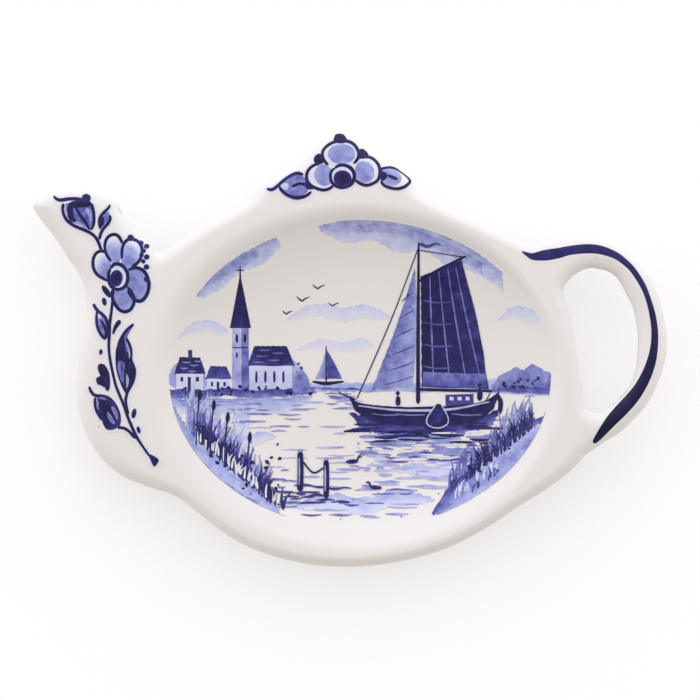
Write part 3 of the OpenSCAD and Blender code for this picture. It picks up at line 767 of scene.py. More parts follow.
sprig_blacks = touches([
    [(53.2, 195.6, 0.7), (56, 198.6, 1.2), (60.5, 199.9, 1.5), (67.6, 198.9, 1.5),
     (75.6, 198.6, 1.5), (81, 200, 2), (85, 201, 2.4)],
    (86, 198, 4.7, 4.4),
    [(67.8, 207, 1.6), (72.5, 205, 3.4), (80, 203.6, 3.6), (87, 203.4, 3.4), (91, 205, 2)],
    [(69.6, 205, 2.6), (70, 210, 3), (70.6, 215, 2.8), (72.5, 219.5, 2.4), (76.5, 220.3, 0.9)],
    [(91, 203, 1.4), (93.2, 211, 1.3), (93.9, 219.4, 1.3), (93.2, 225, 1.2), (90.8, 230, 1.1)],
    [(63.2, 203.5, 1.2), (62.4, 209, 1.1), (64, 215.4, 1.2), (67.6, 221, 1.4), (74.4, 225.8, 1.4),
     (82.5, 229.2, 1.4), (89.4, 232.4, 1.4), (94, 235.7, 1.3), (97.4, 240.2, 1.3),
     (99.7, 245.8, 1.2), (101.6, 251, 1.2)],
    [(75.7, 208, 1), (81.3, 217, 1.4), (86, 223, 1.2), (89.6, 229.6, 1)],
    [(110, 204.4, 0.7), (107.6, 208.7, 1.1), (102.6, 213.4, 1.1), (99.6, 218.3, 1.2),
     (99.2, 223.6, 1.2), (100.6, 229, 1.1)],
    [(101.3, 216, 1.3), (101.8, 221, 2.4), (100.9, 227, 1.8)],
    [(109.6, 214.8, 0.9), (110.1, 219.4, 1.2), (107.4, 224.2, 1.2), (103.2, 228.8, 1.3),
     (100.6, 233.8, 1.3), (99.2, 239.5, 1.2)],
    [(106.6, 252.2, 1.1), (104.8, 248.5, 1.1), (105.3, 242.2, 1.3), (107.7, 237.4, 1.4),
     (112, 234.7, 1.4), (116.6, 235, 1.4), (120.2, 238.6, 1.4), (122, 243.4, 1.1)],
    [(104.6, 250.2, 1.2), (107.6, 256.4, 1.3), (111.3, 261.6, 1.1)],
    [(122, 259.2, 1), (122, 251, 1.2), (123.6, 244.2, 1.3), (128, 239.6, 1.4), (134, 239.4, 1.4),
     (139.4, 242.8, 1.4), (142, 249, 1.4), (141.4, 256.4, 1.3), (137.8, 262.8, 1.3),
     (131.6, 267, 1.2)],
    [(106.2, 252.6, 1.1), (101.6, 251, 1.3), (97, 252.6, 1.3), (93.9, 257, 1.3), (92.9, 263.4, 1.3),
     (94.2, 270, 1.3), (98, 275.2, 1.3), (103.4, 278.6, 1.2), (108.6, 281, 1)],
    [(128.4, 270.4, 1), (132.6, 268.2, 1.3), (138, 268, 1.4), (143.6, 270.8, 1.5),
     (147.6, 277, 1.5), (149.2, 285.4, 1.5), (147.2, 294.2, 1.5), (142.4, 300.4, 1.6),
     (136.8, 300.8, 1.5), (131.8, 296.6, 1.4), (128, 290.4, 1.3)],
    [(112.6, 288.8, 1), (112, 296, 1.4), (114.6, 303.2, 1.5), (118.8, 309, 1.5),
     (124.6, 311.8, 1.5), (130.2, 309.8, 1.5), (133.6, 304.6, 1.5), (134.2, 298.6, 1.4),
     (131.4, 291.8, 1.3), (127, 286.4, 1)],
    [(110.4, 268.6, 1.2), (113.6, 264.8, 1.5), (118.2, 264, 1.6), (123.2, 266.4, 1.6),
     (126.8, 271.6, 1.5), (128, 278, 1.5), (126.4, 284.4, 1.5), (122.4, 288.4, 1.5),
     (116.6, 289.4, 1.4), (111.4, 286.4, 1.5), (109, 280.4, 1.5), (108.8, 273.6, 1.3),
     (110.4, 268.6, 1.2)],
    (116.4, 278.4, 6.5, 8.5, 6), (130.6, 237.8, 3.3, 3.4), (135, 240, 1.8, 1.8),
    (140.8, 243.2, 2.8, 2.8), (146.6, 246.2, 2.8, 2.5), (143.4, 250.8, 2.6, 2.5),
    (141.6, 255, 2.3, 2.3), (146.8, 257, 2.9, 2.7), (143.4, 261.4, 2.2, 2.3),
    (146.6, 267, 2.9, 2.7), (146.6, 279.2, 2.6, 3.1),
    [(102.4, 285.6, 1), (104.9, 289.2, 2.3), (107.6, 293, 2.4), (110, 297.4, 1)],
    (104.4, 301.6, 2.3, 4.1, -12), (101, 352, 1.7, 2.8, 5),
    [(113.6, 288, 0.9), (112.3, 304.4, 1.05), (110.9, 315.8, 1.15), (109.6, 324.4, 1.5),
     (109.2, 330, 1.75), (109.3, 336, 1.4), (109, 345, 1.1), (109.4, 353, 1.1), (111.2, 364.6, 1.1),
     (114.6, 380, 1.1), (117, 388.2, 1.1), (123.4, 403.7, 1.15), (128.3, 417.7, 1.2),
     (136, 435.2, 1.3), (143, 446.4, 0.9), (150, 456.4, 0.9)],
    [(148.6, 454), (153.6, 455.6), (158.8, 459.6), (157.4, 463.6), (154.4, 466.6), (151.6, 462)],
    [(93.2, 303.6, 1), (95, 307.2, 1.3), (98, 311, 1.4), (102, 314, 1.3), (105.7, 318, 1.3),
     (107.4, 323, 1.3), (109, 330, 1.2)],
    [(96.9, 311, 0.9), (96.5, 318.7, 1.1), (97, 324.6, 1.2), (98.7, 330, 1.2), (101.2, 334.6, 1.3),
     (105, 338.4, 1.2), (107.2, 334, 1.1)],
    [(101, 320.4, 1), (104.3, 326, 1.2), (106.6, 332.5, 1.5), (105.5, 337, 1.2)],
    [(120.2, 320.2, 1.2), (118.8, 322.6, 2), (115.6, 327.2, 1.6), (113, 334.4, 0.7)],
    [(134, 324, 0.9), (130.4, 327, 1.2), (126.7, 330.4, 1.2), (123, 336, 1.5), (121.6, 343, 3.4),
     (121.6, 350, 4.6), (121.8, 357, 5.4), (122.6, 361, 4)],
    [(119.4, 343, 0.9), (117.5, 350, 1), (117.1, 359, 1.1), (118, 370, 1.1), (120.6, 379, 1.1),
     (124, 387.5, 1.2), (127.2, 393.4, 1.2)],
    [(124.4, 358, 1.2), (123.8, 368, 1.5), (124.4, 378, 1.5), (126.2, 388, 1.3), (127.2, 394, 1.1)],
    [(127.5, 358, 2), (130, 364, 3.8), (131.4, 371, 3.6), (131, 379, 2.6), (129.4, 386.5, 1.6),
     (127.4, 392.4, 1)],
    [(128.6, 351, 1.4), (128, 358, 2.4), (127.4, 366, 2), (127.4, 374, 1.2)],
    [(126.4, 337.6, 0.7), (129.7, 344.5, 1.1), (131.4, 352, 1.1), (131, 359, 1.3),
     (133, 364.4, 1.2), (134.8, 369.6, 1.2), (134.6, 375.6, 1.2), (133, 382, 1.2),
     (130.2, 387.4, 1.2), (127.6, 392.6, 1.1), (125.9, 399.5, 1.15), (126.6, 406.5, 1.2),
     (128.6, 414.6, 1.1)],
    (134.2, 413.4, 2.3, 5.1, 12), (138.8, 429.8, 1.8, 3.7, -16),
    [(98.8, 364.4, 2), (101.8, 367.8, 4), (104.6, 373.6, 4.4), (106.2, 380, 3.9), (107.4, 386, 2.6),
     (107.8, 391, 1)],
    [(96.2, 379, 2.2), (99.6, 380.2, 4.4), (103.2, 382.6, 3.4), (106.2, 387, 1.8)],
    [(89.2, 386.4, 0.8), (91, 391, 1.2), (94.8, 395.2, 1.3), (103, 396.2, 1.5), (109, 398.6, 1.7),
     (114.3, 403.9, 1.5), (117.8, 410.7, 1.4), (119.4, 416.3, 1.4), (119.2, 422.8, 1.4),
     (117.4, 427, 1.2)],
    [(97.4, 397.6), (104, 396.6), (110, 399), (115, 404.6), (118.6, 411.4), (120, 417.4),
     (119.4, 423.6), (116.6, 428), (112.2, 429.8), (107, 429.4), (103.6, 425), (101.6, 419.4),
     (99.4, 415.6), (97.8, 409.6), (98.6, 403)],
    [(95.8, 397.4, 0.9), (95, 401, 1), (95.4, 406, 1.1), (97, 411.4, 1.2), (99.8, 415.8, 1.4),
     (102.4, 420, 1.3)],
    [(117.6, 427.6, 1), (121, 427.6, 1.15), (125, 428.4, 1.2), (129.7, 431.7, 1.2),
     (134, 436.2, 1.5), (137.4, 437.6, 1.2)]])
sprig_lights = [brush_line(rows, tone) for rows, tone in (
    ([(112, 406.4, 1), (114.6, 410.4, 2), (116.6, 415.4, 1.6), (117.2, 420, 0.6)], 0.58),
    ([(107.8, 411.6, 0.7), (109.4, 416, 1.9), (112, 420.4, 2), (115.2, 424, 0.8)], 0.6),
    ([(97.4, 400.4, 0.5), (97.2, 404.4, 0.7), (98.4, 409.4, 0.7)], 0.5),
    ([(98.4, 398.2, 0.6), (102.4, 398.2, 1), (106.6, 399.6, 0.6)], 0.64),
    ([(119, 361.6, 0.5), (119.2, 368, 1.1), (121.2, 377, 1), (123, 383, 0.4)], 0.6),
    ([(123.6, 362.4, 0.5), (124, 366, 0.9), (123.4, 374, 0.8), (123.8, 381, 0.4)], 0.6),
    ([(127.2, 374.6, 0.7), (127.8, 379.4, 1.4), (127.6, 384, 1.1), (127, 388, 0.5)], 0.5),
    ([(126, 341.6, 0.5), (128.4, 347.6, 0.9), (129.8, 354, 0.8), (129.6, 358, 0.5)], 0.45),
    ([(65.4, 204.4, 0.7), (65.2, 209.6, 0.8), (67, 215.6, 0.6)], 0.3))]


def halos_within(shapes):
    """Halos for all the shapes but those so near the outer edge that the bleed would run
    over it."""
    return [halo(shape) for shape in shapes
            if edge_distance(on_table(shape["grid"]), outer_edge).min() > BLEED_MARGIN]


sprig = fired_film("Sprig", halos_within(sprig_blacks) + sprig_washes + sprig_blacks
                   + sprig_lights, flange_top, step=0.001)
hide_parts("spout_print")

# The blossom on the lid
# Three round petals, an eye and two leaves under the knob, painted like the sprig, with
# a white band left between each petal's wash and its outline.
blossom_washes = [
    blot([(328.6, 164), (324.4, 160), (323.4, 154.5), (325, 149.6), (330, 144.8), (336, 142.2),
          (347.2, 142), (353, 144.4), (357, 149.6), (358, 155), (356.6, 160.4), (350, 164.4),
          (342, 166), (334, 166)], 0.14),
    blot([(314.8, 165.6), (309.4, 170.4), (307.6, 175), (308.6, 180), (311.8, 184.4),
          (316.6, 187.6), (324, 189), (331, 187), (333.4, 180), (332.4, 171), (326, 165.6),
          (320, 163.6)], 0.12),
    blot([(361, 158.6), (369.4, 157.8), (375, 161.4), (378.4, 166.6), (378.8, 173.8), (377, 179),
          (372.8, 182), (366.7, 184), (360.4, 182.4), (355.4, 178), (353.6, 171),
          (356, 164)], 0.12),
    blot([(327.6, 153.6), (331, 147.6), (337.6, 144.6), (346.4, 144.6), (353, 148.2), (355.4, 154),
          (352.6, 160.4), (345, 163.8), (337, 163.8), (330.4, 159.6)], 0.49, rim_tone=0.47),
    blot([(315.6, 169.6), (320.6, 164.8), (327, 165.4), (331.6, 170.6), (332.6, 178.4),
          (329.6, 184.4), (323.2, 186), (317, 182.4), (314.2, 176)], 0.5, rim_tone=0.47),
    blot([(354.6, 172.6), (356.6, 164.8), (362.2, 161.2), (369.4, 163), (373.6, 169),
          (373.8, 176.4), (370, 181.6), (363, 183), (356.8, 179.4)], 0.49, rim_tone=0.47),
    blot([(280, 185.6), (285, 180.6), (292, 176.6), (298.6, 175), (304.6, 177.6), (308.6, 184),
          (308.8, 190), (303.6, 194.8), (296, 196.4), (289.2, 194.4), (283.4, 190.4)],
         0.54, rim_tone=0.6),
    blot([(280.6, 186), (284.6, 183), (288.6, 184.6), (287.4, 189.6), (283.4, 189)], 0.26),
    blot([(384.6, 169.4), (390.3, 168.4), (395, 169.8), (400, 174), (401.6, 178.4), (399.4, 183),
          (394, 185.8), (387, 185), (382.6, 180.4), (381.6, 174)], 0.54, rim_tone=0.4),
    oval_spot(342.4, 176.6, 10.6, 9.8, 0, 0.2)]
blossom_blacks = [blot(points, 1.0, rim_tone=0.98) for points in (
    [(335.8, 134), (341, 133.2), (345, 135.6), (347.2, 140.6), (344, 143.2), (337.6, 143.2),
     (333.6, 140.6), (334.2, 137)],
    [(313.6, 160), (315.2, 155.6), (319, 153.6), (322.6, 154.6), (324.2, 159.4), (322.6, 163.4),
     (318.4, 164.6), (315, 163)],
    [(357.4, 151.4), (359.8, 149), (362.6, 148.4), (366, 150.6), (368.4, 154), (368.6, 158),
     (364, 158.4), (359.6, 158.6), (357.2, 155)])]
blossom_blacks += touches([
    [(328.4, 165, 1.1), (324.2, 160.8, 1.3), (322.3, 154.5, 1.3), (324, 149, 1.2),
     (329, 144.4, 1.3), (335.7, 141.4, 1.4), (341.5, 141, 1.5), (347.2, 141, 1.5),
     (353, 143.4, 1.5), (356.8, 148, 1.5), (358.9, 153.4, 1.5), (357.4, 159.4, 1.3),
     (353.6, 163.6, 1)],
    [(320, 163.8, 1.1), (314.6, 165, 1.2), (309, 169.4, 1.3), (306.6, 175, 1.3),
     (307.4, 180.6, 1.3), (311, 185.4, 1.3), (316.8, 188.6, 1.3), (324, 190.2, 1.3),
     (330, 188.4, 1.2), (333.4, 185.4, 1)],
    [(360.8, 157.8, 1.1), (366, 156.8, 1.3), (371.4, 157.6, 1.4), (376, 161.2, 1.4),
     (379.2, 166.6, 1.4), (379.9, 173.8, 1.4), (378, 179.8, 1.3), (373.2, 183.4, 1.3),
     (366.7, 185.4, 1.3), (360, 183.6, 1.3), (355, 179.8, 1.1)],
    [(334.6, 168.4, 1), (339, 165.6, 1.3), (345, 165.4, 1.5), (350.4, 168, 1.6),
     (353.8, 172.6, 1.6), (354.2, 178, 1.6), (352, 183.4, 1.5), (347.4, 186.6, 1.4),
     (341.4, 187.8, 1.3), (335.4, 186, 1.3), (331.4, 181.4, 1.3), (330.4, 175.4, 1.2),
     (331.8, 170.8, 1), (334.6, 168.4, 0.8)],
    [(333.4, 178.8), (335.8, 173), (340.8, 170.6), (346.4, 171.2), (350.6, 175.2), (351.6, 180.4),
     (348.2, 185.4), (342, 187.2), (336, 185)],
    [(266.6, 188.4, 0.7), (270, 189.8, 1.3), (274, 188.8, 1.4), (278.6, 185, 1.3),
     (282.7, 181.2, 1.3), (288.3, 177.2, 1.4), (293.4, 174.3, 1.4), (298.5, 173.2, 1.4),
     (303.4, 175, 1.2)],
    [(279.6, 186.4, 0.8), (280.6, 189.2, 1.1), (284, 192.8, 1.3), (289.8, 196.3, 1.5),
     (296, 198, 1.6), (302.6, 197.2, 1.5), (307.6, 195, 1.2), (311.4, 191.6, 0.9)],
    [(291.6, 186.6, 0.9), (295.4, 185.4, 1.2), (299, 183.8, 1.1), (304, 184.4, 1.5),
     (308, 185.6, 3.6), (311, 186.6, 2.6)],
    [(304.4, 183), (308, 180.4), (312, 185), (314.6, 188.8), (309.6, 189.6), (305.6, 187.8)],
    [(380.4, 169.6, 1.4), (384.5, 168, 1.1), (390.3, 167.2, 1), (396, 168.6, 0.8),
     (401.4, 172.3, 0.4), (406.8, 176.3, 0.4), (409.8, 179.8, 0.8), (409.6, 182.6, 1.2),
     (404.6, 186.8, 1.3), (397.7, 188.9, 1.3), (391, 188.2, 1.2), (384.5, 185.8, 1.1),
     (380.7, 181.2, 1.2)],
    [(380.6, 171.4), (385.4, 172.4), (387.6, 175.6), (385.4, 179.4), (381, 181)],
    [(387.6, 175.4, 0.7), (390.6, 176.6, 1.3), (394.6, 178.2, 1.4), (397.8, 179.6, 0.6)]])
blossom = fired_film("Blossom",
                     halos_within(blossom_blacks) + blossom_washes + blossom_blacks,
                     flange_top, step=0.003)
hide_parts("lid_print")

# The line on the handle
# One broad stroke of the brush round the handle, that swells and thins as it turns.
HANDLE_STROKE = [
    (521.6, 251.6, 0.6), (527, 254.4, 2), (533.4, 256.6, 3.6), (545.6, 255.2, 5.4),
    (558, 253.2, 5.2), (569, 250.6, 4.6), (585.6, 248.8, 4.7), (600, 249.8, 4.4),
    (614.8, 254.9, 3.7), (625, 262, 3.2), (633.4, 270.4, 3), (643, 285.6, 2.9),
    (648.4, 299, 2.7), (652.6, 314.4, 3.1), (654.8, 330.4, 3.4), (654.4, 346, 3.8),
    (651.6, 361, 4.6), (646.6, 375, 5.2), (639.8, 387.8, 5.7),
    (631.6, 399, 6.3), (622, 409.4, 6.5), (613, 418.8, 6), (605.6, 427.6, 5),
    (598.8, 436.4, 3.6), (593.4, 443, 2)]
handle_stroke = brush_line(HANDLE_STROKE, across=15)
handle_bleed = halo(handle_stroke, tone=0.1, reach=2.8)
# The stroke's tone rises evenly from its upper end to its lower end, so it is drawn darker lower
# down
darker_downwards = np.linspace(0.9, 1.06, len(handle_stroke["grid"]))[:, None]
handle_stroke["tone"] = np.minimum(1, handle_stroke["tone"] * darker_downwards)
handle_line = fired_film("Handle_line", [handle_bleed, handle_stroke], flange_top,
                         step=0.01)
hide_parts("handle_print")

# The picture in the well
# A transfer print in cobalt under the glaze, shaded off in washes: a sailing barge off a
# far shore with a church and cottages, reeds and mooring posts on the near banks.
OVAL = (360.0, 374.0, 191.0, 154.0)
# How near to the oval's edge a stroke may stand, and how far in a blot's middle is held
STROKE_LIMIT, MIDDLE_INSET = 0.97, 1.004


def in_oval(shape):
    """Holds a shape inside the print's oval: points past its edge go back onto it, and a
    middle a little further in."""
    x, y, half_length, half_width = OVAL
    for key, inset in (("grid", 1.0), ("middle", MIDDLE_INSET)):
        if key in shape:
            away = shape[key] - (x, y)
            reach = np.hypot(away[..., 0] / half_length, away[..., 1] / half_width) * inset
            shape[key] = (x, y) + away / np.maximum(reach, 1)[..., None]


def inside(x, y):
    """Whether a point lies in the oval, well within its edge."""
    return math.hypot((x - OVAL[0]) / OVAL[2], (y - OVAL[1]) / OVAL[3]) < STROKE_LIMIT


def fine_line(rows, tone):
    """A stroke with few points, for those that are drawn by the dozen."""
    return brush_line(rows, tone, across=3, spacing=FINE_SPACING)


def ripples(left, top, right, bottom, count, length, half, tone, seed):
    """Short level strokes scattered over a part of the water."""
    dice = np.random.default_rng(seed)
    x, y = dice.uniform(left, right, count), dice.uniform(top, bottom, count)
    reach = length * dice.uniform(0.4, 1, count)
    dip = dice.uniform(-1.2, 1.2, count)
    width = half * dice.uniform(0.6, 1.3, count)
    return [fine_line([(a - r, b, w * 0.5), (a, b + d, w), (a + r, b + d / 3, w * 0.5)], tone)
            for a, b, r, d, w in zip(x, y, reach, dip, width)
            if inside(a - r, b) and inside(a + r, b)]


def blades(first, second, count, height, lean, half, tone, seed):
    """Reeds or grass: bent blades that stand at random places along a line."""
    dice = np.random.default_rng(seed)
    way = dice.uniform(0, 1, count)
    x = first[0] + (second[0] - first[0]) * way
    y = first[1] + (second[1] - first[1]) * way + dice.uniform(-2, 2, count)
    tall = height * dice.uniform(0.45, 1, count)
    bend = lean * dice.uniform(-0.5, 1.1, count)
    return [fine_line([(a, b, half), (a + c * 0.25, b - h * 0.6, half * 0.8),
                       (a + c, b - h, 0.25)], tone)
            for a, b, h, c in zip(x, y, tall, bend) if inside(a, b) and inside(a + c, b - h)]


def specks(left, top, right, bottom, count, size, tone, seed):
    """Leaves and tufts: short dabs scattered over a box, each turned its own way."""
    dice = np.random.default_rng(seed)
    x, y = dice.uniform(left, right, count), dice.uniform(top, bottom, count)
    reach = size * dice.uniform(0.5, 1.3, count)
    turn = dice.uniform(-1.2, 1.2, count)
    return [fine_line([(a - r * math.cos(t), b - r * math.sin(t), r * 0.45), (a, b, r * 0.75),
                       (a + r * math.cos(t), b + r * math.sin(t), r * 0.35)], tone)
            for a, b, r, t in zip(x, y, reach, turn) if inside(a, b)]


def panel(left, top, right, bottom, tone, other=None):
    """A patch with four straight sides, such as a wall, a door or a window."""
    return between([(left, top), (right, top)], [(left, bottom), (right, bottom)], tone, other)


def cottage(left, right, eaves, ground, ridge, tone):
    """A cottage from the side: a pale wall, a dark thatched roof, a door and windows."""
    wide = right - left
    return [panel(left, eaves, right, ground, 0.16, 0.24),
            between([(left + wide * 0.14, ridge), (right - wide * 0.12, ridge + 0.6)],
                    [(left - 2, eaves + 1), (right + 2, eaves + 1)], tone, tone - 0.1, rough=0.3),
            [panel(left + wide * a, eaves + 4, left + wide * b, c, 0.85)
             for a, b, c in ((0.16, 0.26, eaves + 8.5), (0.42, 0.54, ground),
                             (0.72, 0.84, eaves + 8.5))]]


sky_coats = [
    between([(318, 226), (345, 220), (375, 218), (405, 222), (432, 229), (458, 241), (480, 254),
             (502, 272)],
            [(322, 232), (346, 243), (372, 240), (398, 252), (426, 252), (450, 267), (474, 272),
             (504, 292)], 0.4, 0.2, rough=0.8),
    between([(352, 226), (380, 223), (410, 228), (438, 238), (462, 250), (482, 263)],
            [(356, 233), (382, 232), (410, 240), (436, 249), (458, 260), (484, 276)],
            0.47, 0.36, rough=0.7),
    between([(196, 296), (212, 276), (232, 260), (256, 246), (276, 237)],
            [(204, 298), (222, 288), (240, 272), (262, 264), (282, 246)], 0.42, 0.22, rough=0.8),
    between([(206, 284), (222, 270), (240, 257), (256, 249)],
            [(214, 284), (228, 276), (244, 266), (260, 256)], 0.5, 0.38, rough=0.6),
    between([(286, 319), (306, 306), (326, 304), (344, 308), (362, 304), (378, 309), (392, 317)],
            [(287, 320), (308, 316), (326, 317), (344, 322), (362, 318), (378, 320),
             (391, 318)], 0.24, 0.1, rough=0.9),
    between([(498, 320), (512, 307), (526, 307), (538, 313), (546, 323)],
            [(499, 321), (512, 318), (526, 322), (538, 325), (545, 324)], 0.22, 0.1, rough=0.9),
    between([(298, 349), (320, 339), (344, 342), (362, 338), (374, 345)],
            [(299, 350), (320, 350), (344, 352), (362, 350), (373, 346)], 0.18, 0.08, rough=0.9),
    between([(177, 338), (192, 323), (208, 320), (220, 324), (228, 331)],
            [(178, 339), (192, 333), (208, 331), (220, 335), (227, 332)], 0.22, 0.1, rough=0.9),
    [brush_line(rows, 0.85) for rows in (
        [(296, 296, 0.3), (300, 299.6, 0.9), (302.4, 300.6, 0.8), (304.6, 298.6, 0.8),
         (309.6, 296.4, 0.3)],
        [(312, 284.4, 0.3), (316, 287.4, 0.9), (318, 288.2, 0.8), (320.4, 286.4, 0.8),
         (325, 284.6, 0.3)],
        [(328, 302.4, 0.3), (331.4, 305, 0.8), (333, 305.6, 0.7), (335, 304, 0.7),
         (339, 302.6, 0.3)],
        [(282, 310.6, 0.3), (285, 313, 0.8), (286.8, 313.6, 0.7), (288.6, 312, 0.7),
         (292.4, 310.8, 0.3)])]]
shore_coats = [
    between([(298, 384), (330, 382), (360, 383), (400, 382), (440, 383), (480, 381),
             (510, 375), (530, 370), (552, 373)],
            [(298, 392), (330, 392), (360, 392), (400, 392), (440, 392), (480, 393),
             (510, 394), (530, 395), (552, 396)], 0.3, 0.42, rough=0.7),
    between([(492, 386), (500, 376), (508, 372), (516, 367), (524, 370), (532, 364), (542, 369),
             (552, 374)],
            [(492, 392), (500, 392), (508, 392), (516, 393), (524, 393), (532, 393), (542, 394),
             (552, 395)], 0.5, 0.66, rough=0.5),
    specks(500, 378, 548, 391, 26, 1.9, 0.84, 3),
    [brush_line([(x - 9, 389.6, 0.5), (x, 388.8, 1.2), (x + 9, 390, 0.5)], 0.72)
     for x in (306, 330, 352, 508, 530, 544)],
    blot([(169, 384), (171, 370), (180, 361), (192, 360), (202, 367), (206, 380), (204, 391),
          (186, 392)], 0.5, rim_tone=0.36),
    specks(172, 364, 203, 388, 16, 2.4, 0.78, 4),
    blot([(252, 386), (256, 368), (268, 357), (282, 355), (296, 362), (304, 374), (306, 388),
          (280, 392)], 0.48, rim_tone=0.34),
    specks(264, 360, 302, 386, 24, 2.5, 0.76, 5)]
shore_coats += cottage(176, 203, 373, 391, 357, 0.9)
shore_coats += [
    [brush_line([(a, 360 + b, 0.5), (a + 4, 360.6 + b, 0.7), (a + 8, 360 + b, 0.5)], 0.55)
     for a, b in ((182, 2), (190, 5), (180, 8), (188, 11), (194, 1))],
    panel(188, 350, 192, 359, 0.8),
    between([(232, 326), (248, 326)], [(231.6, 391), (248.6, 391)], 0.34, 0.42),
    between([(241, 326), (248.2, 326)], [(241, 391), (248.8, 391)], 0.58, 0.66),
    between([(239.4, 277), (240.6, 277)], [(229.6, 328), (250.6, 328)], 0.95, 0.88),
    brush_line([(240, 266, 0.5), (240, 272, 0.7), (240, 279, 0.9)]),
    [brush_line(rows) for rows in (
        [(236, 270.4, 0.4), (240, 270, 0.6), (244, 270.4, 0.4)],
        [(236.4, 334, 1), (236.4, 338, 1.4), (236.4, 343, 1)],
        [(244.6, 334, 1), (244.6, 338, 1.4), (244.6, 343, 1)],
        [(236.4, 352, 0.8), (236.4, 358, 1)],
        [(232, 347.4, 0.5), (240, 347.8, 0.6), (248, 347.4, 0.5)])],
    panel(249, 364, 292, 391, 0.2, 0.3),
    between([(254, 346), (286, 346)], [(247, 366), (295, 366)], 0.9, 0.8,
            rough=0.3),
    [brush_line([(x, 371, 0.9), (x, 376, 1.3), (x, 383, 1.2)], 0.85)
     for x in (256, 265, 274, 283)],
    [brush_line([(a, b, 0.4), (a + 6, b + 0.4, 0.6), (a + 12, b, 0.4)], 0.6)
     for a, b in ((258, 350), (272, 353), (256, 356), (268, 360), (252, 362))]]
shore_coats += cottage(207, 229, 378, 391, 366, 0.84)
shore_coats += [
    between([(166, 389), (196, 390), (226, 388.6), (260, 390), (292, 389), (316, 392)],
            [(166, 398), (196, 399), (226, 396), (260, 398), (292, 396), (316, 393)], 0.8, 0.6,
            rough=0.8),
    specks(168, 386, 312, 395, 34, 1.8, 0.92, 6),
    blot([(292, 390), (294, 378), (300, 370), (307, 376), (310, 390), (302, 393)], 0.66,
         rim_tone=0.5)]
water_coats = [
    between([(166, 398), (200, 400), (240, 399), (280, 398), (312, 396)],
            [(170, 410), (200, 416), (240, 412), (280, 414), (306, 404)], 0.44, 0.2, rough=1.0),
    between([(232, 399), (241, 398), (251, 399)], [(234, 438), (241, 444), (249, 436)], 0.4,
            0.1, rough=1.4),
    ripples(176, 399, 306, 432, 34, 13, 0.9, 0.55, 11),
    ripples(180, 420, 350, 470, 26, 14, 0.9, 0.36, 12),
    ripples(300, 395, 352, 412, 10, 14, 0.8, 0.45, 13),
    ripples(500, 396, 552, 424, 16, 11, 0.9, 0.5, 14),
    between([(292, 507), (312, 498), (336, 494), (364, 498), (392, 491), (414, 493), (436, 500)],
            [(293, 508), (312, 511), (336, 509), (364, 514), (392, 507), (414, 505),
             (435, 501)], 0.36, 0.18, rough=1.2),
    between([(196, 443), (216, 434), (240, 437), (262, 432), (276, 436)],
            [(197, 444), (216, 444), (240, 448), (262, 443), (275, 437)], 0.3, 0.14, rough=1.1),
    between([(390, 470), (412, 464), (438, 466), (462, 461), (478, 464)],
            [(391, 471), (412, 474), (438, 478), (462, 471), (477, 465)], 0.34, 0.16, rough=1.2),
    ripples(290, 468, 430, 522, 30, 15, 1.0, 0.42, 15),
    ripples(300, 480, 420, 516, 12, 12, 0.9, 0.66, 16)]
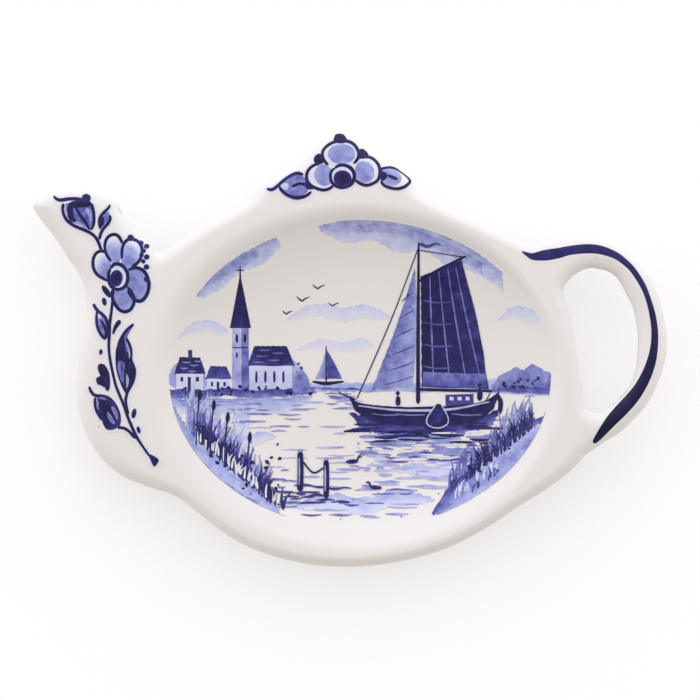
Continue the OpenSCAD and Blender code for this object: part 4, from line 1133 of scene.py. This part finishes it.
barge_coats = [
    between([(350, 412), (380, 422), (420, 425), (460, 423), (500, 410)],
            [(362, 430), (388, 436), (424, 438), (458, 436), (492, 426)], 0.86, 0.62,
            rough=1.2),
    ripples(366, 436, 490, 462, 44, 20, 1.7, 0.48, 18),
    ripples(376, 452, 482, 488, 26, 17, 1.5, 0.34, 20),
    ripples(356, 424, 500, 446, 44, 15, 1.3, 0.88, 17),
    ripples(370, 446, 486, 470, 20, 11, 1.0, 0.74, 34),
    ripples(372, 428, 484, 470, 22, 13, 1.0, 0.06, 19),
    between([(415, 268), (398, 322), (372, 390)], [(416.6, 300), (416, 345), (413, 387)], 0.6,
            0.42, rough=0.3),
    [brush_line([(414, y, 0.4), (408 - i, y + 4, 0.6), (402 - 3.4 * i, y + 9, 0.4)], 0.8)
     for i, y in enumerate((292, 310, 328, 346, 362, 376))],
    between([(421, 276), (421.6, 330), (422, 387)], [(462, 260), (479, 326), (489, 389)], 0.96,
            0.84, rough=0.3),
    [brush_line([(a, b, 0.4), (a + c * 0.5, b + 56, 0.8), (a + c, b + 108, 0.4)], 0.62)
     for a, b, c in ((430, 275, 4), (439, 271, 11), (448, 269, 18), (456, 267, 24))],
    [brush_line([(423, y, 0.4), (436, y + 2.4, 0.7), (452, y + 2, 0.4)], 0.7)
     for y in (300, 322, 344, 366)],
    between([(423, 372), (450, 373), (486, 374)], [(423, 386), (450, 387), (488, 388)], 0.62,
            0.72, rough=0.3),
    brush_line([(419.6, 281, 1.4), (440, 269, 1.5), (466, 256, 1)]),
    brush_line([(418.4, 389.4, 1.3), (450, 390.4, 1.6), (493, 391, 1.2)]),
    brush_line([(418.8, 242, 0.9), (418.6, 300, 1.6), (418.4, 350, 1.9), (418.4, 404, 2.1)]),
    [brush_line([(418.4, 248, 0.5), (392, 318, 0.55), (357, 399, 0.6)]),
     brush_line([(419.4, 250, 0.4), (444, 254, 0.45), (464, 257, 0.4)]),
     brush_line([(491, 392, 0.4), (488, 398, 0.5), (484, 404, 0.4)]),
     brush_line([(356, 400, 1), (346, 396, 0.8), (338, 392, 0.5)], 0.9)],
    brush_line([(419.6, 243.6, 1.9), (428, 246.4, 1.7), (436, 243.6, 1), (443, 246, 0.4)], 0.74),
    between([(446, 395), (474, 394)], [(446, 406), (474, 405)], 0.78),
    between([(349, 397), (362, 403.6), (400, 407), (450, 406), (482, 402), (500, 392)],
            [(355, 411), (372, 421), (405, 426), (450, 426), (480, 420), (494, 409)], 0.97,
            0.9, rough=0.2),
    brush_line([(358, 406, 0.6), (400, 410.4, 1.1), (450, 409.6, 1.1), (490, 402, 0.6)], 0.36),
    [brush_line([(a, 414, 0.4), (a + 14, 415.4, 0.7), (a + 30, 415, 0.4)], 0.6)
     for a in (372, 396, 452)],
    blot([(437, 404.6), (441, 405), (444.6, 411), (448, 418.6), (447, 424), (441, 427.4),
          (433, 427), (428, 423.6), (428.4, 418), (432.6, 411)], 0.82, rim_tone=0.95),
    brush_line([(436.6, 404.4, 0.5), (432, 411, 0.6), (427.6, 418, 0.7), (427.4, 424, 0.6),
                (433, 427.6, 0.6), (441, 428, 0.7), (447.6, 424.4, 0.6), (448.6, 418.4, 0.6),
                (445, 410.6, 0.6), (441.4, 404.6, 0.5)], 0.32),
    brush_line([(497, 394, 1.6), (501, 402, 2.4), (500, 414, 2.2)]),
    [oval_spot(480, 385.4, 2.1, 2.3), oval_spot(398, 393.4, 2, 2.2)],
    [brush_line([(480, 388, 1.6), (480.4, 394, 2.8), (480, 401, 2.4)]),
     brush_line([(398, 396, 1.5), (398.4, 401, 2.6), (398, 406, 2.2)])],
    [panel(x, 397, x + 4, 400.6, 0.2) for x in (450, 458, 466)]]
far_sail_coats = [
    between([(326, 350), (327, 364), (327, 379)], [(327, 350.6), (336, 366), (342, 379)], 0.78,
            0.66, rough=0.2),
    between([(325, 354), (325, 366), (325, 379)], [(324.6, 354), (321, 366), (315, 379)], 0.5,
            0.4, rough=0.2),
    [brush_line([(326, 346, 0.5), (326, 364, 0.7), (326, 382, 0.8)]),
     brush_line([(312, 381.6, 0.8), (326, 383.6, 1.9), (344, 381.6, 0.8)])],
    ripples(310, 386, 346, 398, 10, 9, 0.8, 0.6, 21)]
bank_coats = [
    between([(552, 414), (534, 420), (514, 430), (496, 442), (478, 456), (460, 474), (444, 494),
             (432, 514)],
            [(552, 424), (541, 440), (528, 456), (512, 471), (494, 484), (476, 496), (458, 506),
             (440, 515)], 0.72, 0.4, rough=1.1),
    between([(548, 420), (528, 430), (508, 442), (490, 456), (474, 472)],
            [(544, 428), (530, 442), (514, 456), (496, 470), (480, 484)], 0.3, 0.5, rough=1.2),
    blades((540, 420), (498, 446), 40, 36, 7, 1.0, 0.5, 22),
    blades((500, 446), (446, 492), 40, 28, 6, 1.0, 0.62, 23),
    blades((538, 424), (466, 482), 60, 26, -6, 1.2, 0.93, 24),
    blades((538, 424), (450, 494), 40, 18, 7, 1.3, 0.8, 35),
    specks(470, 446, 536, 484, 22, 2.2, 0.95, 25),
    blades((540, 444), (452, 500), 22, 14, 5, 1.0, 0.2, 26),
    between([(173, 404), (184, 423), (206, 444), (232, 464), (256, 484), (278, 508)],
            [(168, 420), (178, 446), (200, 475), (227, 497), (252, 512), (282, 522)], 0.48, 0.26,
            rough=1.2),
    between([(186, 446), (206, 466), (230, 486), (256, 502)],
            [(189, 456), (208, 476), (232, 495), (258, 509)], 0.6, 0.42, rough=1.3),
    ripples(240, 466, 292, 512, 14, 10, 1.0, 0.6, 27),
    blades((186, 424), (238, 478), 50, 52, 12, 1.5, 0.3, 28),
    blades((188, 430), (262, 498), 60, 44, -9, 1.4, 0.5, 29),
    blades((190, 432), (272, 504), 60, 36, 9, 1.3, 0.72, 36),
    blades((192, 436), (276, 508), 80, 28, -7, 1.4, 0.94, 30),
    blades((200, 440), (284, 510), 60, 20, 9, 1.3, 0.9, 37),
    specks(190, 440, 280, 512, 50, 2.0, 0.94, 31),
    blades((194, 438), (280, 508), 30, 16, 4, 1.0, 0.1, 38),
    blades((184, 450), (268, 516), 40, 11, 6, 1.1, 0.66, 41),
    blades((188, 452), (262, 514), 16, 13, -5, 0.9, 0.9, 42),
    blades((546, 436), (458, 506), 36, 10, 5, 1.0, 0.72, 43),
    blades((540, 440), (468, 498), 14, 12, -5, 0.9, 0.92, 44),
    specks(200, 430, 500, 520, 26, 0.9, 0.55, 45),
    [brush_line([(a, b, 0.7), (a + 1, b - 26, 0.8), (a + 3, b - 48, 0.8)], 0.9)
     for a, b in ((196, 446), (210, 456), (224, 468), (246, 488))],
    [brush_line([(a, b, 1), (a + 0.4, b - 5, 2.2), (a + 0.8, b - 11, 1)], 0.97)
     for a, b in ((199, 401), (213, 411), (227, 423), (249, 443))]]
post_coats = [
    ripples(280, 486, 346, 504, 20, 10, 1.0, 0.8, 32),
    [brush_line([(300, 452, 2.8), (300.4, 470, 3.1), (300, 492, 3)], 0.96),
     brush_line([(326, 460, 2.6), (326.4, 478, 2.9), (326, 499, 2.8)], 0.96)],
    [brush_line([(299, 458, 0.5), (299.2, 472, 0.8), (299, 486, 0.5)], 0.45),
     brush_line([(325, 466, 0.5), (325.2, 480, 0.8), (325, 492, 0.5)], 0.45)],
    [oval_spot(300, 451, 3, 1.5, 0, 0.5), oval_spot(326, 459, 2.8, 1.4, 0, 0.5)],
    brush_line([(302, 461, 0.8), (313, 473, 0.9), (324, 468, 0.8)]),
    [oval_spot(352, 462, 6.4, 2.3, -4, 0.9), oval_spot(376, 488, 6, 2.2, 4, 0.9),
     brush_line([(357, 461, 1), (359.4, 456.4, 0.9), (362, 457.6, 0.5)], 0.92),
     brush_line([(371, 487, 1), (368.6, 482.4, 0.9), (366, 483.6, 0.5)], 0.92)],
    ripples(344, 465, 384, 472, 5, 8, 0.7, 0.5, 33)]
picture_coats = (sky_coats + shore_coats + water_coats + far_sail_coats + barge_coats
                 + bank_coats + post_coats)
for _, shape in layered(picture_coats):
    in_oval(shape)
well_picture = fired_film("Well_picture", picture_coats, floor_top, step=0.0014)
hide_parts("well_print")

# The table, the light and the camera
# A white table that keeps the soft shadow, one broad cool lamp beyond the lid and a sky
# that is warm overhead and bright and cool on the lid's side. The camera is straight above.
table_mesh = bpy.data.meshes.new("Table")
TABLE_REACH = 4.0
table_mesh.from_pydata([(x * TABLE_REACH, y * TABLE_REACH, 0)
                        for x, y in ((-1, -1), (1, -1), (1, 1), (-1, 1))], [], [(0, 1, 2, 3)])
table = placed("Table", table_mesh)
table_paper, tree, paper = node_material(
    "table_paper", {"Roughness": 1.0, "Specular IOR Level": 0.0})
place = add_node(tree, "TexCoord")
fibre = add_node(tree, "TexNoise", {"Scale": 300.0})
paper_tone = add_node(tree, "Mix", data_type="RGBA",
                      values={"A": (0.985, 0.985, 0.985, 1), "B": (1.0, 1.0, 1.0, 1)})
# To the camera the paper is partly plain white, which leaves the shadow light and soft
plain_white = add_node(tree, "Emission")
seen = add_node(tree, "LightPath")
white_share = add_node(tree, "Math", {1: 0.5}, operation="MULTIPLY")
lightened = add_node(tree, "MixShader")
join(tree, (place, "Object", fibre, "Vector"), (fibre, "Fac", paper_tone, "Factor"),
     (paper_tone, "Result", paper, "Base Color"), (seen, "Is Camera Ray", white_share, 0),
     (white_share, "Value", lightened, "Fac"), (paper, "BSDF", lightened, 1),
     (plain_white, "Emission", lightened, 2),
     (lightened, "Shader", tree.nodes["Material Output"], "Surface"))
table_mesh.materials.append(table_paper)

scene = bpy.context.scene
scene.view_settings.view_transform = "Standard"
# The light comes from beyond the lid, and a little from the spout's side
BRIGHT_SIDE = (-0.1, 0.995, 0.0)
sky = bpy.data.worlds.new("Sky")
sky.use_nodes = True
tree = sky.node_tree
glow = tree.nodes["Background"]
seen = add_node(tree, "LightPath")
way = add_node(tree, "TexCoord")
parts = add_node(tree, "SeparateXYZ")
height = add_node(tree, "Math", operation="ABSOLUTE")
dome = add_node(tree, "Mix", data_type="RGBA",
                values={"A": (1.90, 1.90, 1.94, 1), "B": (0.86, 0.787, 0.711, 1)})
towards = add_node(tree, "VectorMath", {1: BRIGHT_SIDE}, operation="DOT_PRODUCT")
side = add_node(tree, "MapRange", {"From Min": -1.0})
sides = colour_ramp(tree, [(0.0, (0.20, 0.19, 0.17)), (0.3, (0.64, 0.63, 0.61)),
                           (0.5, (1.0, 1.0, 1.0)), (0.7, (1.12, 1.15, 1.23)),
                           (1.0, (1.11, 1.16, 1.34))])
graded = add_node(tree, "Mix", {"Factor": 1.0}, data_type="RGBA", blend_type="MULTIPLY")
sky_tone = add_node(tree, "Mix", {"B": (1.0, 1.0, 1.0, 1)}, data_type="RGBA")
join(tree, (way, "Generated", parts, "Vector"), (parts, "Z", height, 0),
     (height, "Value", dome, "Factor"), (way, "Generated", towards, 0),
     (towards, "Value", side, "Value"), (side, "Result", sides, "Fac"),
     (dome, "Result", graded, "A"), (sides, "Color", graded, "B"),
     (graded, "Result", sky_tone, "A"), (seen, "Is Camera Ray", sky_tone, "Factor"),
     (sky_tone, "Result", glow, "Color"))
scene.world = sky

lamp_data = bpy.data.lights.new("Window", "AREA")
lamp_data.shape = "DISK"
lamp_data.size = 1.6
lamp_data.energy = 1.1
lamp_data.color = (0.90, 0.94, 1.0)
lamp = placed("Window", lamp_data)
LAMP_REACH, LAMP_HEIGHT = 1.3, 0.9
lamp.location = (BRIGHT_SIDE[0] * LAMP_REACH, BRIGHT_SIDE[1] * LAMP_REACH, LAMP_HEIGHT)
lamp.rotation_euler = (-math.atan2(LAMP_REACH, LAMP_HEIGHT), 0,
                       math.atan2(-BRIGHT_SIDE[0], BRIGHT_SIDE[1]))

# The width of the camera's sensor in millimetres
SENSOR_WIDTH = 36.0
# In metres, the level that the camera is set for, its distance above that, the width that
# it sees there, and how far it stands towards the front rim
SEEN_LEVEL, CAMERA_DISTANCE, SEEN_WIDTH, CAMERA_SHIFT = 0.0108, 0.9, 0.14, 0.0002
camera_data = bpy.data.cameras.new("Camera")
camera_data.sensor_width = SENSOR_WIDTH
camera_data.lens = SENSOR_WIDTH * CAMERA_DISTANCE / SEEN_WIDTH
camera_data.clip_end = 20.0
camera = placed("Camera", camera_data)
camera.location = (0.0, -CAMERA_SHIFT, CAMERA_DISTANCE + SEEN_LEVEL)
scene.camera = camera
